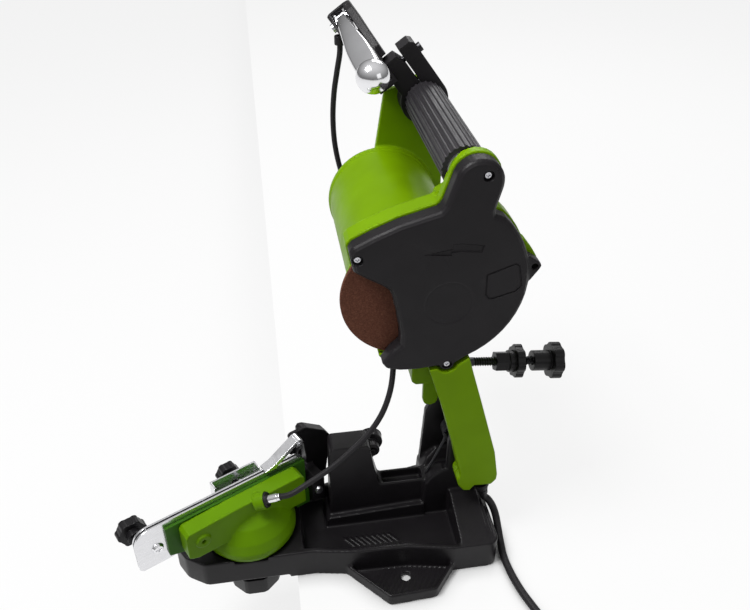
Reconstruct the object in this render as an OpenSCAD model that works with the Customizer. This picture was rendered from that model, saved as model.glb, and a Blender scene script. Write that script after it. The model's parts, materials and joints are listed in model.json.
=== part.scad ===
// Electric chain sharpener: a bench grinder head on a sprung hinge over a
// swivelling chain vise. A brake lever on the handle closes the vise by cable.
// Millimetres. +Z is up, +X runs to the rear of the machine, and Y = 0 is the
// plane of the grinding wheel. Z = 0 is the bench. The head is drawn raised.

/* [Grinding wheel] */
// Diameter of the grinding wheel
wheel_d = 108; // [100:1:110]
// Thickness of the grinding wheel
wheel_t = 3.2; // [3:0.1:4.8]
// Bore of the grinding wheel
wheel_bore = 22.2; // [20:0.1:23]
// Diameter of the two clamping flanges
flange_d = 27; // [26:0.5:30]

/* [Head] */
// Distance from the hinge to the wheel's axis
head_reach = 172; // [168:0.5:176]
// Forward lean of the raised head, in degrees
head_lean = 16.9; // [15.5:0.1:18]
// Outer radius of the motor casing
casing_r = 48; // [46:0.5:49]
// Wall of the motor casing and of the side cover
wall = 2.8; // [2.4:0.1:3.2]
// Where the motor casing ends
casing_end = 160; // [150:1:166]
// Outer face of the side cover, on the near side
cover_face = -18; // [-20:0.5:-16]
// Where the side cover meets the green housing
cover_seam = -4; // [-6:0.5:-3]
// Back face of the wheel chamber
chamber_back = 10; // [8:0.5:12]

/* [Handle and brake lever] */
// Outer diameter of the ribbed grip
grip_d = 34.6; // [32:0.2:36]
// Far end of the grip
grip_end = 140; // [120:1:144]
// Number of ribs round the grip
grip_ribs = 24; // [16:1:30]
// Diameter of the handle tube inside the grip
tube_d = 26; // [24:0.5:28]
// Tilt of the lever's plane from the vertical, in degrees
lever_tilt = 36; // [30:1:42]
// Height of the lever's pivot above the handle's axis
pivot_h = 82; // [78:1:86]
// Where the lever's pivot lies along the handle
pivot_y = 188; // [184:1:194]
// Length of the lever from pivot to ball
lever_len = 126; // [110:1:130]
// Diameter of the ball end
ball_d = 25; // [19:0.5:26]

/* [Base] */
// Length of the base from nose tip to rear edge
base_len = 287; // [282:1:294]
// Height of the base's rim
rim_h = 31; // [28:0.5:32]
// Height of the base's floor
floor_h = 16; // [14:0.5:19]
// Half width of the nose
nose_half = 38; // [37:0.5:42]
// Half width of the rear part
rear_half = 54; // [52:0.5:56]
// Height of the tall block that the depth screw lands on
block_h = 108; // [104:0.5:109]
// Height of the low wall
spine_h = 58; // [50:1:60]
// Distance between the two bench holes
hole_gap = 114; // [110:1:116]
// Diameter of the bench holes
hole_d = 9; // [6:0.5:10]

/* [Hinge] */
// Height of the hinge's axis
hinge_z = 104.5; // [103:0.5:106]
// Diameter of the hinge pin
pin_d = 9; // [8:0.5:10]
// Running clearance on radius
run = 0.05; // [0.02:0.01:0.1]
// Wire of the torsion spring
spring_wire = 2.4; // [2:0.1:3]
// Turns of the torsion spring
spring_turns = 5; // [4:1:6]

/* [Depth screw] */
// Diameter of the depth screw
rod_d = 8; // [7:0.5:9]
// Length of the depth screw
rod_len = 133; // [128:1:138]
// Drop of the depth screw towards the rear, in degrees
rod_drop = 5.6; // [4:0.1:7]

/* [Vise] */
// Angle of the rails from the machine's length, in degrees
vise_turn = 27; // [25:1:29]
// Height of the rails' top edge
rail_top = 90; // [88:0.5:91]
// Thickness of one rail
rail_t = 1.8; // [1.5:0.1:2.4]
// Width of the chain slot when open
slot = 1.6; // [1.3:0.1:2]
// Radius of the turntable
table_r = 36; // [33:0.5:37]

/* [Cords] */
// Diameter of the power cord
cord_d = 7; // [6:0.1:7.4]
// Diameter of the brake cable
cable_d = 5; // [4:0.1:5.6]

/* [Hidden] */

// Finish of round faces
$fn = 48;
hull_fn = 24;
seat = 0.3;          // gap between pieces that lie against each other
tiny = 0.01;

// ---- places ----
hinge_x = 58;
hub_x = hinge_x - head_reach * sin(head_lean);
hub_z = hinge_z + head_reach * cos(head_lean);
rear_x = 86;
nose_x = rear_x - base_len;
swivel_x = -134.5;
bore_r = pin_d / 2 + run;

// fork that carries the hinge
fork_near = 2;
fork_t = 7;
fork_gap = 24;
fork_far = fork_near + fork_t + fork_gap;

// tall block and the stop knob on its far face
block_near = 6;
block_far = 28;
stop_x = -18;
stop_z = 87;

// head, measured from the wheel's axis
casing_x = 4;
casing_z = 5;
handle_x = 38;
handle_z = 101;
lug_x = 44;
lug_z = 98;
lug_r = 18;
disc_x = 13.6;
disc_z = 15.7;
disc_r = 74.7;
boss_x = 28.4;
boss_z = -57;
boss_r = 7;
tip_x = -42;
tip_z = 45;
cap_t = 8;
web_t = 6;
clamp_t = 18;
tube_near = 2.2;

// motor
shaft_r = 5;
bearing_r = 13;
bearing_t = 9;
stator_r = 34;
rotor_r = 21;
motor_near = 34;
motor_len = 70;

// arm, measured from the hinge
arm_near = -18;
arm_far = 1.5;
arm_seam = -8.5;
arm_wall = 2.6;

// depth screw, in the world
rod_y = 20;
rod_z = 181;
rod_x0 = 13;

// vise, measured from its swivel axis, x along the rails
pad_h = 27;
core_near = -6;
cover_near = -22;
rail_near_y = -slot / 2 - rail_t;
rail_far_y = slot / 2;
rail_front = -103;
rail_rear = 58;
rail_foot = 46;
jaw_x = 4;
jaw_z = 72;
pull_r = 1.8;

// ------------------------------------------------------------------ helpers
// points of an arc from angle a0 to a1
function arc(cx, cy, r, a0, a1, n) =
  [for (i = [0 : n]) let (a = a0 + (a1 - a0) * i / n)
    [cx + r * cos(a), cy + r * sin(a)]];

function unit(v) = v / norm(v);

// one ring of a swept tube
function ring(p, t, r, n, ref) =
  let (u = unit(cross(t, ref)), v = cross(t, u))
  [for (k = [0 : n - 1]) p + r * (cos(360 * k / n) * u + sin(360 * k / n) * v)];

function tangent(path, i) =
  unit(path[min(i + 1, len(path) - 1)] - path[max(i - 1, 0)]);

// a smooth curve through the given points, with k steps between them
function smooth(p, k) = concat(
  [for (i = [0 : len(p) - 2], j = [0 : k - 1])
    let (t = j / k, a = p[max(i - 1, 0)], b = p[i], c = p[i + 1],
         d = p[min(i + 2, len(p) - 1)])
    0.5 * (2 * b + (c - a) * t + (2 * a - 5 * b + 4 * c - d) * t * t
           + (3 * b - a - 3 * c + d) * t * t * t)],
  [p[len(p) - 1]]);

// a closed tube along a path
module sweep(path, r, n, ref) {
  m = len(path);
  rings = [for (i = [0 : m - 1])
    each ring(path[i], tangent(path, i), r, n, ref)];
  sides = [for (i = [0 : m - 2], k = [0 : n - 1])
    let (a = i * n + k, b = i * n + (k + 1) % n)
    each [[a, b, b + n], [a, b + n, a + n]]];
  caps = concat(
    [for (k = [1 : n - 2]) [0, k + 1, k]],
    [for (k = [1 : n - 2]) [(m - 1) * n, (m - 1) * n + k, (m - 1) * n + k + 1]]);
  polyhedron(points = rings, faces = concat(sides, caps), convexity = 10);
}

// an outline in X and Z, thick from y0 to y1
module slab(y0, y1)
  translate([0, y1, 0]) rotate([90, 0, 0]) linear_extrude(y1 - y0) children();

module ycyl(x, z, y0, y1, r, fn = 48)
  translate([x, y1, z]) rotate([90, 0, 0]) cylinder(h = y1 - y0, r = r, $fn = fn);

module xcyl(x0, x1, y, z, r, fn = 48)
  translate([x0, y, z]) rotate([0, 90, 0]) cylinder(h = x1 - x0, r = r, $fn = fn);

module zcyl(x, y, z0, z1, r, fn = 48)
  translate([x, y, z0]) cylinder(h = z1 - z0, r = r, $fn = fn);

module at_hub() translate([hub_x, 0, hub_z]) children();
module at_hinge() translate([hinge_x, 0, hinge_z]) children();
module at_handle()
  at_hub() translate([handle_x, 0, handle_z]) rotate([0, -lever_tilt, 0]) children();
module at_vise() translate([swivel_x, 0, 0]) rotate([0, 0, vise_turn]) children();
module at_rod()
  translate([rod_x0, rod_y, rod_z + (67 - rod_x0) * sin(rod_drop)])
    rotate([0, 90 + rod_drop, 0]) children();

// lobed hand knob on +Z, with its hub below the disc
module knob(r, disc_t, hub_r, hub_t, lobes, bore, lobe = 0.3)
  difference() {
    union() {
      linear_extrude(disc_t) {
        circle(r * (0.78 + lobe * 0.33));
        for (i = [0 : lobes - 1])
          rotate(i * 360 / lobes) translate([r * (1 - lobe), 0]) circle(r * lobe);
      }
      translate([0, 0, -hub_t]) cylinder(h = hub_t + tiny, r = hub_r);
      translate([0, 0, disc_t - tiny]) cylinder(h = 1.6, r1 = r * 0.66, r2 = r * 0.5);
    }
    translate([0, 0, -hub_t - 1]) cylinder(h = hub_t + disc_t - 1, r = bore);
  }

// pan-head screw on +Z: head up, shank down, cross recess
module pan_screw(head_r, head_t, shank_r, shank_len)
  difference() {
    union() {
      cylinder(h = head_t, r1 = head_r, r2 = head_r * 0.72);
      translate([0, 0, -shank_len]) cylinder(h = shank_len + tiny, r = shank_r);
    }
    for (a = [0, 90])
      rotate(a) translate([-head_r * 0.5, -0.5, head_t - 1.2])
        cube([head_r, 1, 2]);
  }

// ------------------------------------------------------------------ outlines
// side cover seen from the near side, without the mouth for the wheel
module cover_outline() {
  polygon(concat(
    [[tip_x - 6, tip_z + 6], [tip_x - 3, tip_z + 10], [-31.6, 61.8],
     [-11.7, 70.2], [2.4, 74.2], [17, 78.4], [20.5, 83]],
    arc(lug_x, lug_z, lug_r, 170, -14, 14),
    [[57, 76], [57.5, 73]],
    arc(disc_x, disc_z, disc_r, 46, -66, 16),
    [[35, -58.6], [17.5, -60], [4, -61], [-9.3, -60.4], [-20, -57.4],
     [-23.6, -52], [-16.2, -41], [-9.5, -35], [-9.4, -24], [-13, -4],
     [-16.5, 11.5], [-18.8, 16.4], [-24, 20.6], [-36, 28], [-45, 34.5]]));
  translate([boss_x, boss_z]) circle(boss_r);
}

// inside of the cover
module cover_inside() offset(delta = -wall) cover_outline();

// arm beside the fork, measured from the hinge
module arm_outline()
  polygon([[-36, 103], [-21.5, 55], [-9, 6], [-3, -21], [-5.5, -27], [-4, -34],
           [1, -41], [7, -42], [11, -36.5], [26.5, -37.5], [31, -32],
           [31.5, -26], [27, 2], [11, 60], [0.5, 97], [-4.6, 116], [-30, 112]]);

screw_places = [[tip_x, tip_z], [lug_x + 5, lug_z + 6], [boss_x, boss_z - 1]];

// ================================================================== BASE
module base_outline(grow = 0)
  offset(r = grow) offset(r = 9, $fn = hull_fn) offset(delta = -9)
    polygon([[nose_x, -12], [nose_x + 9, -nose_half + 11],
             [nose_x + 26, -nose_half], [-80, -nose_half], [-46, -nose_half - 6], [4, -nose_half - 8],
             [44, -rear_half], [rear_x, -rear_half],
             [rear_x, rear_half], [44, rear_half], [4, nose_half + 8],
             [-46, nose_half + 6], [-80, nose_half],
             [nose_x + 26, nose_half], [nose_x + 9, nose_half - 11], [nose_x, 12]]);

// ear round a bench hole: the near one is drawn out to a wide foot
module ear_outline(reach, inset = 0)
  offset(delta = -inset) offset(r = 5, $fn = hull_fn) offset(delta = -5)
    polygon([[-56, -38], [-18, -hole_gap / 2 - reach], [24, -hole_gap / 2 - reach + 2],
             [48, -50], [48, -34], [-56, -34]]);
ear_reach = [24, 9];

module upright_outline() {
  polygon([[26, floor_h - 1], [29.5, spine_h + 2], [33, hinge_z + 12],
           [37, hinge_z + 21], [43, hinge_z + 31], [61, hinge_z + 31],
           [70, hinge_z + 22], [76, 70], [79, 44], [79, floor_h - 1]]);
}

// near cheek: cut back to the pin, so that the spring and its leg show
module cheek_outline() {
  polygon([[40, floor_h - 1], [41, spine_h + 3], [48, spine_h + 14],
           [hinge_x - 10, hinge_z], [hinge_x - 8, hinge_z + 8],
           [hinge_x - 4, hinge_z + 12], [hinge_x + 6, hinge_z + 12],
           [69, hinge_z + 6], [76, 70], [79, 44], [79, floor_h - 1]]);
}

module base()
  color([0.11, 0.11, 0.12]) difference() {
    union() {
      // rim with a sunk floor
      difference() {
        linear_extrude(rim_h) base_outline();
        translate([0, 0, floor_h]) linear_extrude(rim_h) intersection() {
          base_outline(-5);
          translate([-88, -80]) square([170, 160]);
        }
        // pad that the turntable turns on
        translate([swivel_x, 0, pad_h]) cylinder(h = 20, r = table_r + 4.5);
      }
      // ears
      for (m = [0, 1]) mirror([0, m, 0]) difference() {
        linear_extrude(12.5) ear_outline(ear_reach[m]);
        difference() {
          translate([0, 0, 5]) linear_extrude(20) ear_outline(ear_reach[m], 2.6);
          translate([-80, -42, 0]) cube([160, 60, 30]);
        }
      }
      // tall block, low wall and the foot under them
      slab(block_near, block_far) polygon([[-60, floor_h - 1], [-58.5, block_h - 3],
        [-56, block_h], [-25, block_h], [-22.5, block_h - 3], [-18, spine_h + 20],
        [-13, spine_h - 1], [-10, floor_h - 1]]);
      ycyl(stop_x, stop_z, block_far - 8, block_far, 7);
      slab(block_near, 24) polygon([[-20, floor_h - 1], [-20, spine_h + 4],
        [-11, spine_h], [34, spine_h], [40, spine_h + 4], [60, spine_h + 4],
        [70, 45], [78, floor_h - 1]]);
      // plinth along the foot of both
      slab(block_near - 6, block_near + 1) polygon([[-64, floor_h - 1], [-64, 24],
        [-61, 26.5], [20, 31], [28, 31], [28, floor_h - 1]]);
      slab(block_near - 6, block_far) polygon([[-64, floor_h - 1], [-64, 24],
        [-61, 26.5], [-57, 26.5], [-57, floor_h - 1]]);
      // two uprights
      slab(fork_near, fork_near + fork_t) cheek_outline();
      slab(fork_far, fork_far + fork_t) upright_outline();
      // cross wall that ties the uprights at the foot, with a V cut
      difference() {
        slab(fork_near, fork_far + fork_t) polygon([[26, floor_h - 1],
          [28, spine_h - 3], [34, spine_h + 6], [44, spine_h + 14], [62, spine_h + 14],
          [74, spine_h + 2], [79, spine_h - 14], [79, floor_h - 1]]);
        translate([0, fork_near + fork_t + fork_gap / 2, spine_h])
          rotate([90, 0, 90]) linear_extrude(100)
            polygon([[0, 0], [fork_gap / 2 - 0.5, 18], [-fork_gap / 2 + 0.5, 18]]);
      }
      // ramp behind the fork's foot
      translate([51, 0, 0]) rotate([90, 0, 90]) linear_extrude(26)
        polygon([[-rear_half + 1, floor_h - 1], [-rear_half + 1, rim_h],
                 [-2, rim_h + 14], [fork_far + fork_t, rim_h + 14],
                 [rear_half - 6, rim_h], [rear_half - 6, floor_h - 1]]);
      translate([77 - tiny, 0, 0]) rotate([90, 0, 90]) linear_extrude(4)
        polygon([[-rear_half + 1, floor_h - 1], [-rear_half + 1, rim_h],
                 [-2, rim_h + 8], [fork_far + fork_t, rim_h + 8],
                 [rear_half - 6, rim_h], [rear_half - 6, floor_h - 1]]);
      // hatch ribs on the floor
      for (i = [0 : 8])
        translate([-42 + i * 5, -26, floor_h - 1]) rotate([0, 0, 40])
          cube([1, 12, 1.7]);
      // hatch ribs in the ears
      for (m = [0, 1], i = [0 : 12]) mirror([0, m, 0])
        intersection() {
          translate([-44 + i * 5, -84, 4.5]) rotate([0, 0, -35]) cube([0.9, 50, 1.1]);
          translate([0, 0, 4]) linear_extrude(4) ear_outline(ear_reach[m], 3);
        }
    }
    // trough in the top of the low wall
    translate([-10, block_near + 2.6, spine_h - 9]) cube([37, 12.8, 20]);
    // underside, hollow between ribs
    for (c = [[-178, -106, 0], [-80, -42, 0], [-38, 0, 0], [4, 42, 0], [46, 80, 0]])
      translate([0, 0, -1]) linear_extrude(floor_h - 3) intersection() {
        base_outline(-4);
        translate([c[0], -60]) square([c[1] - c[0], 120]);
      }
    // raised underside of the nose, clear of the bench edge
    translate([nose_x - 10, -60, -1]) cube([abs(nose_x) - 92, 120, 4]);
    // bench holes
    for (s = [-1, 1]) zcyl(0, s * hole_gap / 2, -1, 20, hole_d / 2);
    // hinge bores
    ycyl(hinge_x, hinge_z, fork_near - 1, fork_far + fork_t + 1, bore_r);
    // swivel bore
    zcyl(swivel_x, 0, -1, 60, 4.1);
    // stop knob bore
    ycyl(stop_x, stop_z, block_far - 12, block_far + 1, 3.05);
  }

module stop_knob()
  color([0.09, 0.09, 0.1]) translate([stop_x, block_far + seat, stop_z])
    rotate([-90, 0, 0]) {
      cylinder(h = 3, r = 6);
      translate([0, 0, 3 - tiny]) cylinder(h = 8, r = 11);
      translate([0, 0, 11 - 2 * tiny]) cylinder(h = 1.5, r1 = 11, r2 = 9);
      translate([0, 0, -9]) cylinder(h = 9 + tiny, r = 3);
    }

// ================================================================== HINGE
module hinge_pin()
  color([0.62, 0.63, 0.65]) {
    ycyl(hinge_x, hinge_z, arm_near + 5, fork_far + fork_t + 5, pin_d / 2);
    ycyl(hinge_x, hinge_z, fork_far + fork_t + seat, fork_far + fork_t + 5.4, 8, 6);
  }

spring_r = 11;
spring_y0 = fork_near + fork_t + 3.5;
spring_pitch = spring_wire + 0.75;
function spring_at(a) = [hinge_x + spring_r * cos(a),
  spring_y0 + spring_pitch * (a - 150) / 360, hinge_z + spring_r * sin(a)];

module torsion_spring()
  color([0.16, 0.16, 0.17])
    sweep(concat(
      // leg on the low wall
      [[30, spring_y0, spine_h + 2.8], [33, spring_y0, spine_h + 6],
       [46, spring_y0, hinge_z - 7]],
      [for (i = [0 : spring_turns * 8 - 3]) spring_at(150 + 15 + i * 45)],
      // leg on the head's spring hook
      [for (f = [0.35, 0.7, 1]) let (a = 150 + 15 + (spring_turns * 8 - 3) * 45)
        spring_at(a) + f * ([42.5, spring_at(a)[1], hinge_z + 34] - spring_at(a))]),
      spring_wire / 2, 6, [0.02, 1, 0.01]);

// ================================================================== HEAD
// the part of the outline that lies beside the handle
neck_z = 81;
lug_back = 4;
module above_neck() translate([-20, neck_z]) square([120, 60]);

module chamber_outline() {
  offset(delta = 1.2) cover_outline();
  intersection() {
    circle(wheel_d / 2 - 3.5);
    translate([-80, -50]) square([90, 92]);
  }
}

module motor_housing()
  color([0.42, 0.66, 0.05]) difference() {
    union() {
      at_hub() {
        // rim of the wheel chamber
        slab(cover_seam + tiny, lug_back) difference() {
          offset(delta = 1.2) cover_outline();
          offset(delta = -wall) cover_outline();
        }
        slab(lug_back - tiny, chamber_back + tiny) difference() {
          offset(delta = 1.2) cover_outline();
          offset(delta = -wall) cover_outline();
          above_neck();
        }
        // back of the ring round the handle's end
        slab(lug_back - wall, lug_back) intersection() {
          cover_outline();
          above_neck();
        }
        // neck under that ring
        slab(lug_back - wall, chamber_back + wall) intersection() {
          cover_outline();
          translate([6, neck_z - 12]) square([70, 12 + tiny]);
        }
        // back wall of the chamber
        slab(chamber_back, chamber_back + wall) difference() {
          chamber_outline();
          above_neck();
        }
        // casing round the motor
        difference() {
          union() {
            ycyl(casing_x, casing_z, chamber_back + 1, casing_end, casing_r, 96);
            ycyl(casing_x, casing_z, casing_end - 6, casing_end, casing_r + 1, 96);
          }
          ycyl(casing_x, casing_z, chamber_back + wall + 3, casing_end + 1,
               casing_r - wall, 96);
        }
        // front bearing seat
        ycyl(0, 0, chamber_back + wall + 2, motor_near - 8, bearing_r + 4);
        // saddle between the casing and the handle's near end
        difference() {
          slab(chamber_back, chamber_back + 14) polygon([[18, 40], [20, 78],
            [30, 84], [48, 84], [57, 76], [56, 66], [46, 30]]);
          ycyl(handle_x, handle_z, 0, 40, grip_d / 2 + 0.4);
        }
        // web at the far end, up to the handle
        slab(casing_end, casing_end + web_t) difference() {
          union() {
            polygon([[-3, 40], [6.5, 104], [16, 107], [40, 112], [53.5, 101], [52, 50],
              [60.5, 22], [60.5, 12], [50, 0], [30, 5]]);
            translate([handle_x, handle_z]) circle(15.5);
          }
          translate([casing_x, casing_z]) circle(casing_r - wall + 0.1);
        }
        // tab at the rear, behind the cover's
        slab(cover_seam + tiny, 6) difference() {
          polygon([[82, 44], [86, 43.5], [93, 34], [96.5, 28], [96.5, 22.5], [89.5, 14],
            [84, 12]]);
          translate([92.3, 25.2]) circle(2.6);
        }
      }
      // block under the chamber that carries the depth screw
      difference() {
        slab(chamber_back + 1, 30) polygon([[14.5, 172], [15, 236], [44, 244],
          [58, 226], [62, 186], [56, 171], [36, 168], [18, 169]]);
        at_hub() ycyl(casing_x, casing_z, chamber_back + wall, 40, casing_r - wall);
      }
      // hook for the torsion spring
      slab(24, 30) polygon([[28, 138], [30, 134], [35, 132.5], [40, 134.5],
        [41.5, 139], [41.5, 173], [28, 173]]);
    }
    at_hub() {
      // mouth where the wheel comes out
      slab(cover_seam - 1, chamber_back) polygon([[-80, 32], [-30, 16],
        [-18, -20], [-23.5, -50], [-30, -70], [-90, -70]]);
      ycyl(0, 0, cover_seam - 1, chamber_back, wheel_d / 2 + 2.5, 96);
      // shaft and front bearing
      ycyl(0, 0, 0, motor_near, shaft_r + 1.5);
      ycyl(0, 0, motor_near - 8 - bearing_t, motor_near, bearing_r);
      // handle tube
      ycyl(handle_x, handle_z, tube_near - 0.1, casing_end + 20, tube_d / 2 + run);
      // cover screws
      for (p = screw_places) ycyl(p[0], p[1], cover_seam - 1, 8, 1.6);
    }
    // depth screw bore
    at_rod() translate([0, 0, -12]) cylinder(h = 70, r = rod_d / 2 + run);
  }

arm_screw_places = [[30, 192], [52, 186]];

module end_cap()
  color([0.1, 0.1, 0.11]) at_hub() difference() {
    union() {
      translate([casing_x, 0, casing_z]) {
        difference() {
          rotate([-90, 0, 0]) translate([0, 0, casing_end - 4])
            cylinder(h = 4 + cap_t - 3, r = casing_r - wall - seat, $fn = 96);
          ycyl(0, 0, casing_end - 5, casing_end + 2, casing_r - wall - 4, 96);
        }
        ycyl(0, 0, casing_end + cap_t - 3 - tiny, casing_end + cap_t - 1.5,
             casing_r - wall - 1.5, 96);
      }
      // rear bearing seat
      ycyl(0, 0, motor_near + motor_len + 14, casing_end + 3, bearing_r + 3);
    }
    ycyl(0, 0, motor_near + motor_len + 13, motor_near + motor_len + 14 + bearing_t + 1,
         bearing_r);
    // vent slots
    for (i = [-3 : 3])
      translate([casing_x + i * 8 - 1.6, casing_end - 6, casing_z - 36])
        cube([3.2, 30, 20]);
    // switch window
    translate([casing_x - 11.2, casing_end - 6, casing_z + 14.8]) cube([22.4, 30, 15.4]);
    for (a = [45, 135, 225, 315])
      ycyl(casing_x + 38 * cos(a), casing_z + 38 * sin(a), casing_end - 5,
           casing_end + 20, 1.6);
  }

module end_cap_screws()
  color([0.5, 0.5, 0.52]) at_hub() for (a = [45, 135, 225, 315])
    translate([casing_x + 38 * cos(a), casing_end + cap_t - 1.5, casing_z + 38 * sin(a)])
      rotate([-90, 0, 0]) pan_screw(3, 1.8, 1.5, 8);

module wheel_cover()
  color([0.1, 0.1, 0.11]) at_hub() difference() {
    union() {
      slab(cover_face + 3, cover_seam) cover_outline();
      slab(cover_face + 4, cover_seam) difference() {
        polygon([[82, 34.5], [88, 34.5], [96.5, 28], [97.6, 25.6], [96.5, 23], [90, 13.6],
          [82, 10]]);
        translate([92.3, 25.2]) circle(2.6);
      }
      stepped_face();
    }
    // hollow inside
    slab(cover_face + wall, cover_seam + 1) difference() {
      cover_inside();
      for (p = screw_places) translate(p) circle(5);
      translate([lug_x, lug_z]) circle(lug_r - 4);
    }
    // mouth where the wheel comes out
    slab(cover_face + wall, cover_seam + 1) polygon([[-60, 38], [-30, 22],
      [-14, -20], [-18, -36], [-60, -50]]);
    ycyl(0, 0, cover_seam - 4, cover_seam + 1, flange_d / 2 + 2);
    // round hollow over the arbor
    ycyl(26.6, 1.6, cover_face - 1, cover_face + 0.5, 19, 72);
    // direction arrow, sunk
    slab(cover_face - 1, cover_face + 0.8) polygon([[6, 45.6], [27, 48.4],
      [27, 52.4], [33, 52.6], [50, 49.6], [48.5, 44.4], [33, 46.6], [26, 45.8],
      [26, 43.6]]);
    // oblong panel, outlined by a groove
    slab(cover_face - 1, cover_face + 0.7) difference() {
      panel_outline(0);
      panel_outline(-0.9);
    }
    // screw wells
    for (p = screw_places) {
      ycyl(p[0], p[1], cover_face - 1, cover_face + 4, 4);
      ycyl(p[0], p[1], cover_face - 1, cover_seam + 1, 1.8);
    }
  }

// the face steps in at its edge
module stepped_face() {
  slab(cover_face + 1.4, cover_face + 3.1) offset(delta = -1) cover_outline();
  slab(cover_face, cover_face + 1.5) offset(delta = -2.6) cover_outline();
}

module panel_outline(grow)
  offset(delta = grow) offset(r = 3, $fn = hull_fn) offset(delta = -3)
    polygon([[53.6, 24.4], [78.3, 33.3], [82.2, 12], [77.8, 7.2], [58.2, 1.8], [53.9, 6.6]]);

module cover_screws()
  color([0.55, 0.55, 0.57]) at_hub() for (p = screw_places)
    translate([p[0], cover_face + 4, p[1]]) rotate([90, 0, 0])
      pan_screw(3.2, 2, 1.55, 15.5);

// arm: two half shells that meet at a seam
module arm_profile() difference() {
  arm_outline();
  translate([hub_x - hinge_x, hub_z - hinge_z]) offset(delta = 1.5) cover_outline();
}

module arm_half(y0, y1, open_to_near)
  difference() {
    at_hinge() difference() {
      slab(y0, y1) arm_profile();
      slab(open_to_near ? y0 - 1 : y0 + arm_wall, open_to_near ? y1 - arm_wall : y1 + 1)
        difference() {
          offset(delta = -arm_wall) arm_profile();
          circle(11);
          for (p = arm_screw_places)
            translate([p[0] - hinge_x, p[1] - hinge_z]) circle(4.5);
        }
    }
    // lead's way out at the tail
    translate([hinge_x + 20, arm_seam, hinge_z - 44]) rotate([0, -14, 0])
      cylinder(h = 14, r = 4.05);
    for (p = arm_screw_places) ycyl(p[0], p[1], arm_near + arm_wall, arm_far + 1, 1.7);
    ycyl(hinge_x, hinge_z, arm_near + 5 - 0.2, arm_far + 1, pin_d / 2 + 0.01);
  }

module arm_shell_near() color([0.36, 0.58, 0.04]) arm_half(arm_near, arm_seam, false);

module arm_shell_far() color([0.33, 0.54, 0.04]) difference() {
  arm_half(arm_seam + 0.02, arm_far, true);
  for (p = arm_screw_places) ycyl(p[0], p[1], arm_far - 2, arm_far + 1, 3.6);
}

module arm_screws()
  color([0.55, 0.55, 0.57]) for (p = arm_screw_places)
    translate([p[0], arm_far - 2, p[1]]) rotate([-90, 0, 0]) pan_screw(3.2, 1.8, 1.55, 14.8);

module strain_relief()
  color([0.08, 0.08, 0.09]) translate([hinge_x + 20, arm_seam, hinge_z - 44])
    rotate([0, -14, 0]) difference() {
      union() {
        translate([0, 0, 1.5]) cylinder(h = 9, r = 4);
        translate([0, 0, -2]) cylinder(h = 3.6, r = 7.4);
        translate([0, 0, -8]) cylinder(h = 6.1, r1 = 5, r2 = 6.4);
        translate([0, 0, -13.7]) cylinder(h = 5.8, r1 = 4.4, r2 = 5);
      }
      translate([0, 0, -12]) cylinder(h = 40, r = 2.6);
    }

// ---- handle
module handle_tube()
  color([0.5, 0.5, 0.52]) at_hub() difference() {
    ycyl(handle_x, handle_z, tube_near, casing_end + web_t, tube_d / 2);
    ycyl(handle_x, handle_z, 0, casing_end + web_t + 1, tube_d / 2 - 2);
  }

module grip()
  color([0.17, 0.17, 0.19]) at_hub() translate([handle_x, 0, handle_z]) difference() {
    slab(lug_back + seat, grip_end) {
      circle(grip_d / 2 - 0.9);
      for (i = [0 : grip_ribs - 1]) rotate(i * 360 / grip_ribs)
        translate([grip_d / 2 - 1.2, 0]) circle(1.2, $fn = 16);
    }
    ycyl(0, 0, 0, grip_end + 1, tube_d / 2 + 0.02);
  }

clamp_y = grip_end + 0.6;
ear_h = 49;
module lever_clamp()
  color([0.09, 0.09, 0.1]) at_handle() difference() {
    union() {
      ycyl(0, 0, clamp_y, clamp_y + clamp_t, 20.5);
      // right ear
      slab(clamp_y, clamp_y + clamp_t) polygon([[6.6, 0], [20.5, 0], [20.5, ear_h - 3],
        [17.5, ear_h], [6.6, ear_h]]);
      // left ear
      slab(clamp_y, clamp_y + clamp_t) polygon([[-13, 12], [5.4, 12], [5.4, ear_h - 12],
        [2, ear_h - 3], [-9, ear_h - 3], [-13, ear_h - 8]]);
    }
    ycyl(0, 0, clamp_y - 1, clamp_y + clamp_t + 1, tube_d / 2 + 0.02);
    // slit
    translate([5.4, clamp_y - 1, 10]) cube([1.2, clamp_t + 2, 60]);
    translate([-30, clamp_y + clamp_t / 2, ear_h - 12]) rotate([0, 90, 0])
      cylinder(h = 80, r = 2.55);
    // grooves on the left ear
    for (i = [0 : 3])
      translate([-14, clamp_y - 1, ear_h - 20 + i * 3]) cube([1.6, clamp_t + 2, 1.3]);
  }

module clamp_screw()
  color([0.2, 0.2, 0.21]) at_handle()
    translate([20.5, clamp_y + clamp_t / 2, ear_h - 12]) rotate([0, 90, 0]) {
      translate([0, 0, -32]) cylinder(h = 32.1, r = 2.5);
      difference() {
        cylinder(h = 3, r = 4);
        translate([0, 0, 1.2]) cylinder(h = 4, r = 2, $fn = 6);
      }
    }

// channel from the left ear out to the lever's pivot
lever_x = -17;
cheek_gap = 13;
module bracket_side()
  polygon([[clamp_y - 6, 30], [clamp_y - 2, 47], [clamp_y + 6, 58],
    [pivot_y - 9, pivot_h + 7.5], [pivot_y, pivot_h + 10], [pivot_y + 8, pivot_h + 6.5],
    [pivot_y + 10.5, pivot_h - 1], [pivot_y + 8, pivot_h - 9],
    [pivot_y - 8, pivot_h - 17], [clamp_y + 16, 36], [clamp_y + 10, 28]]);

module cheek(x, t)
  translate([x, 0, 0]) rotate([90, 0, 90]) linear_extrude(t) bracket_side();

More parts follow.
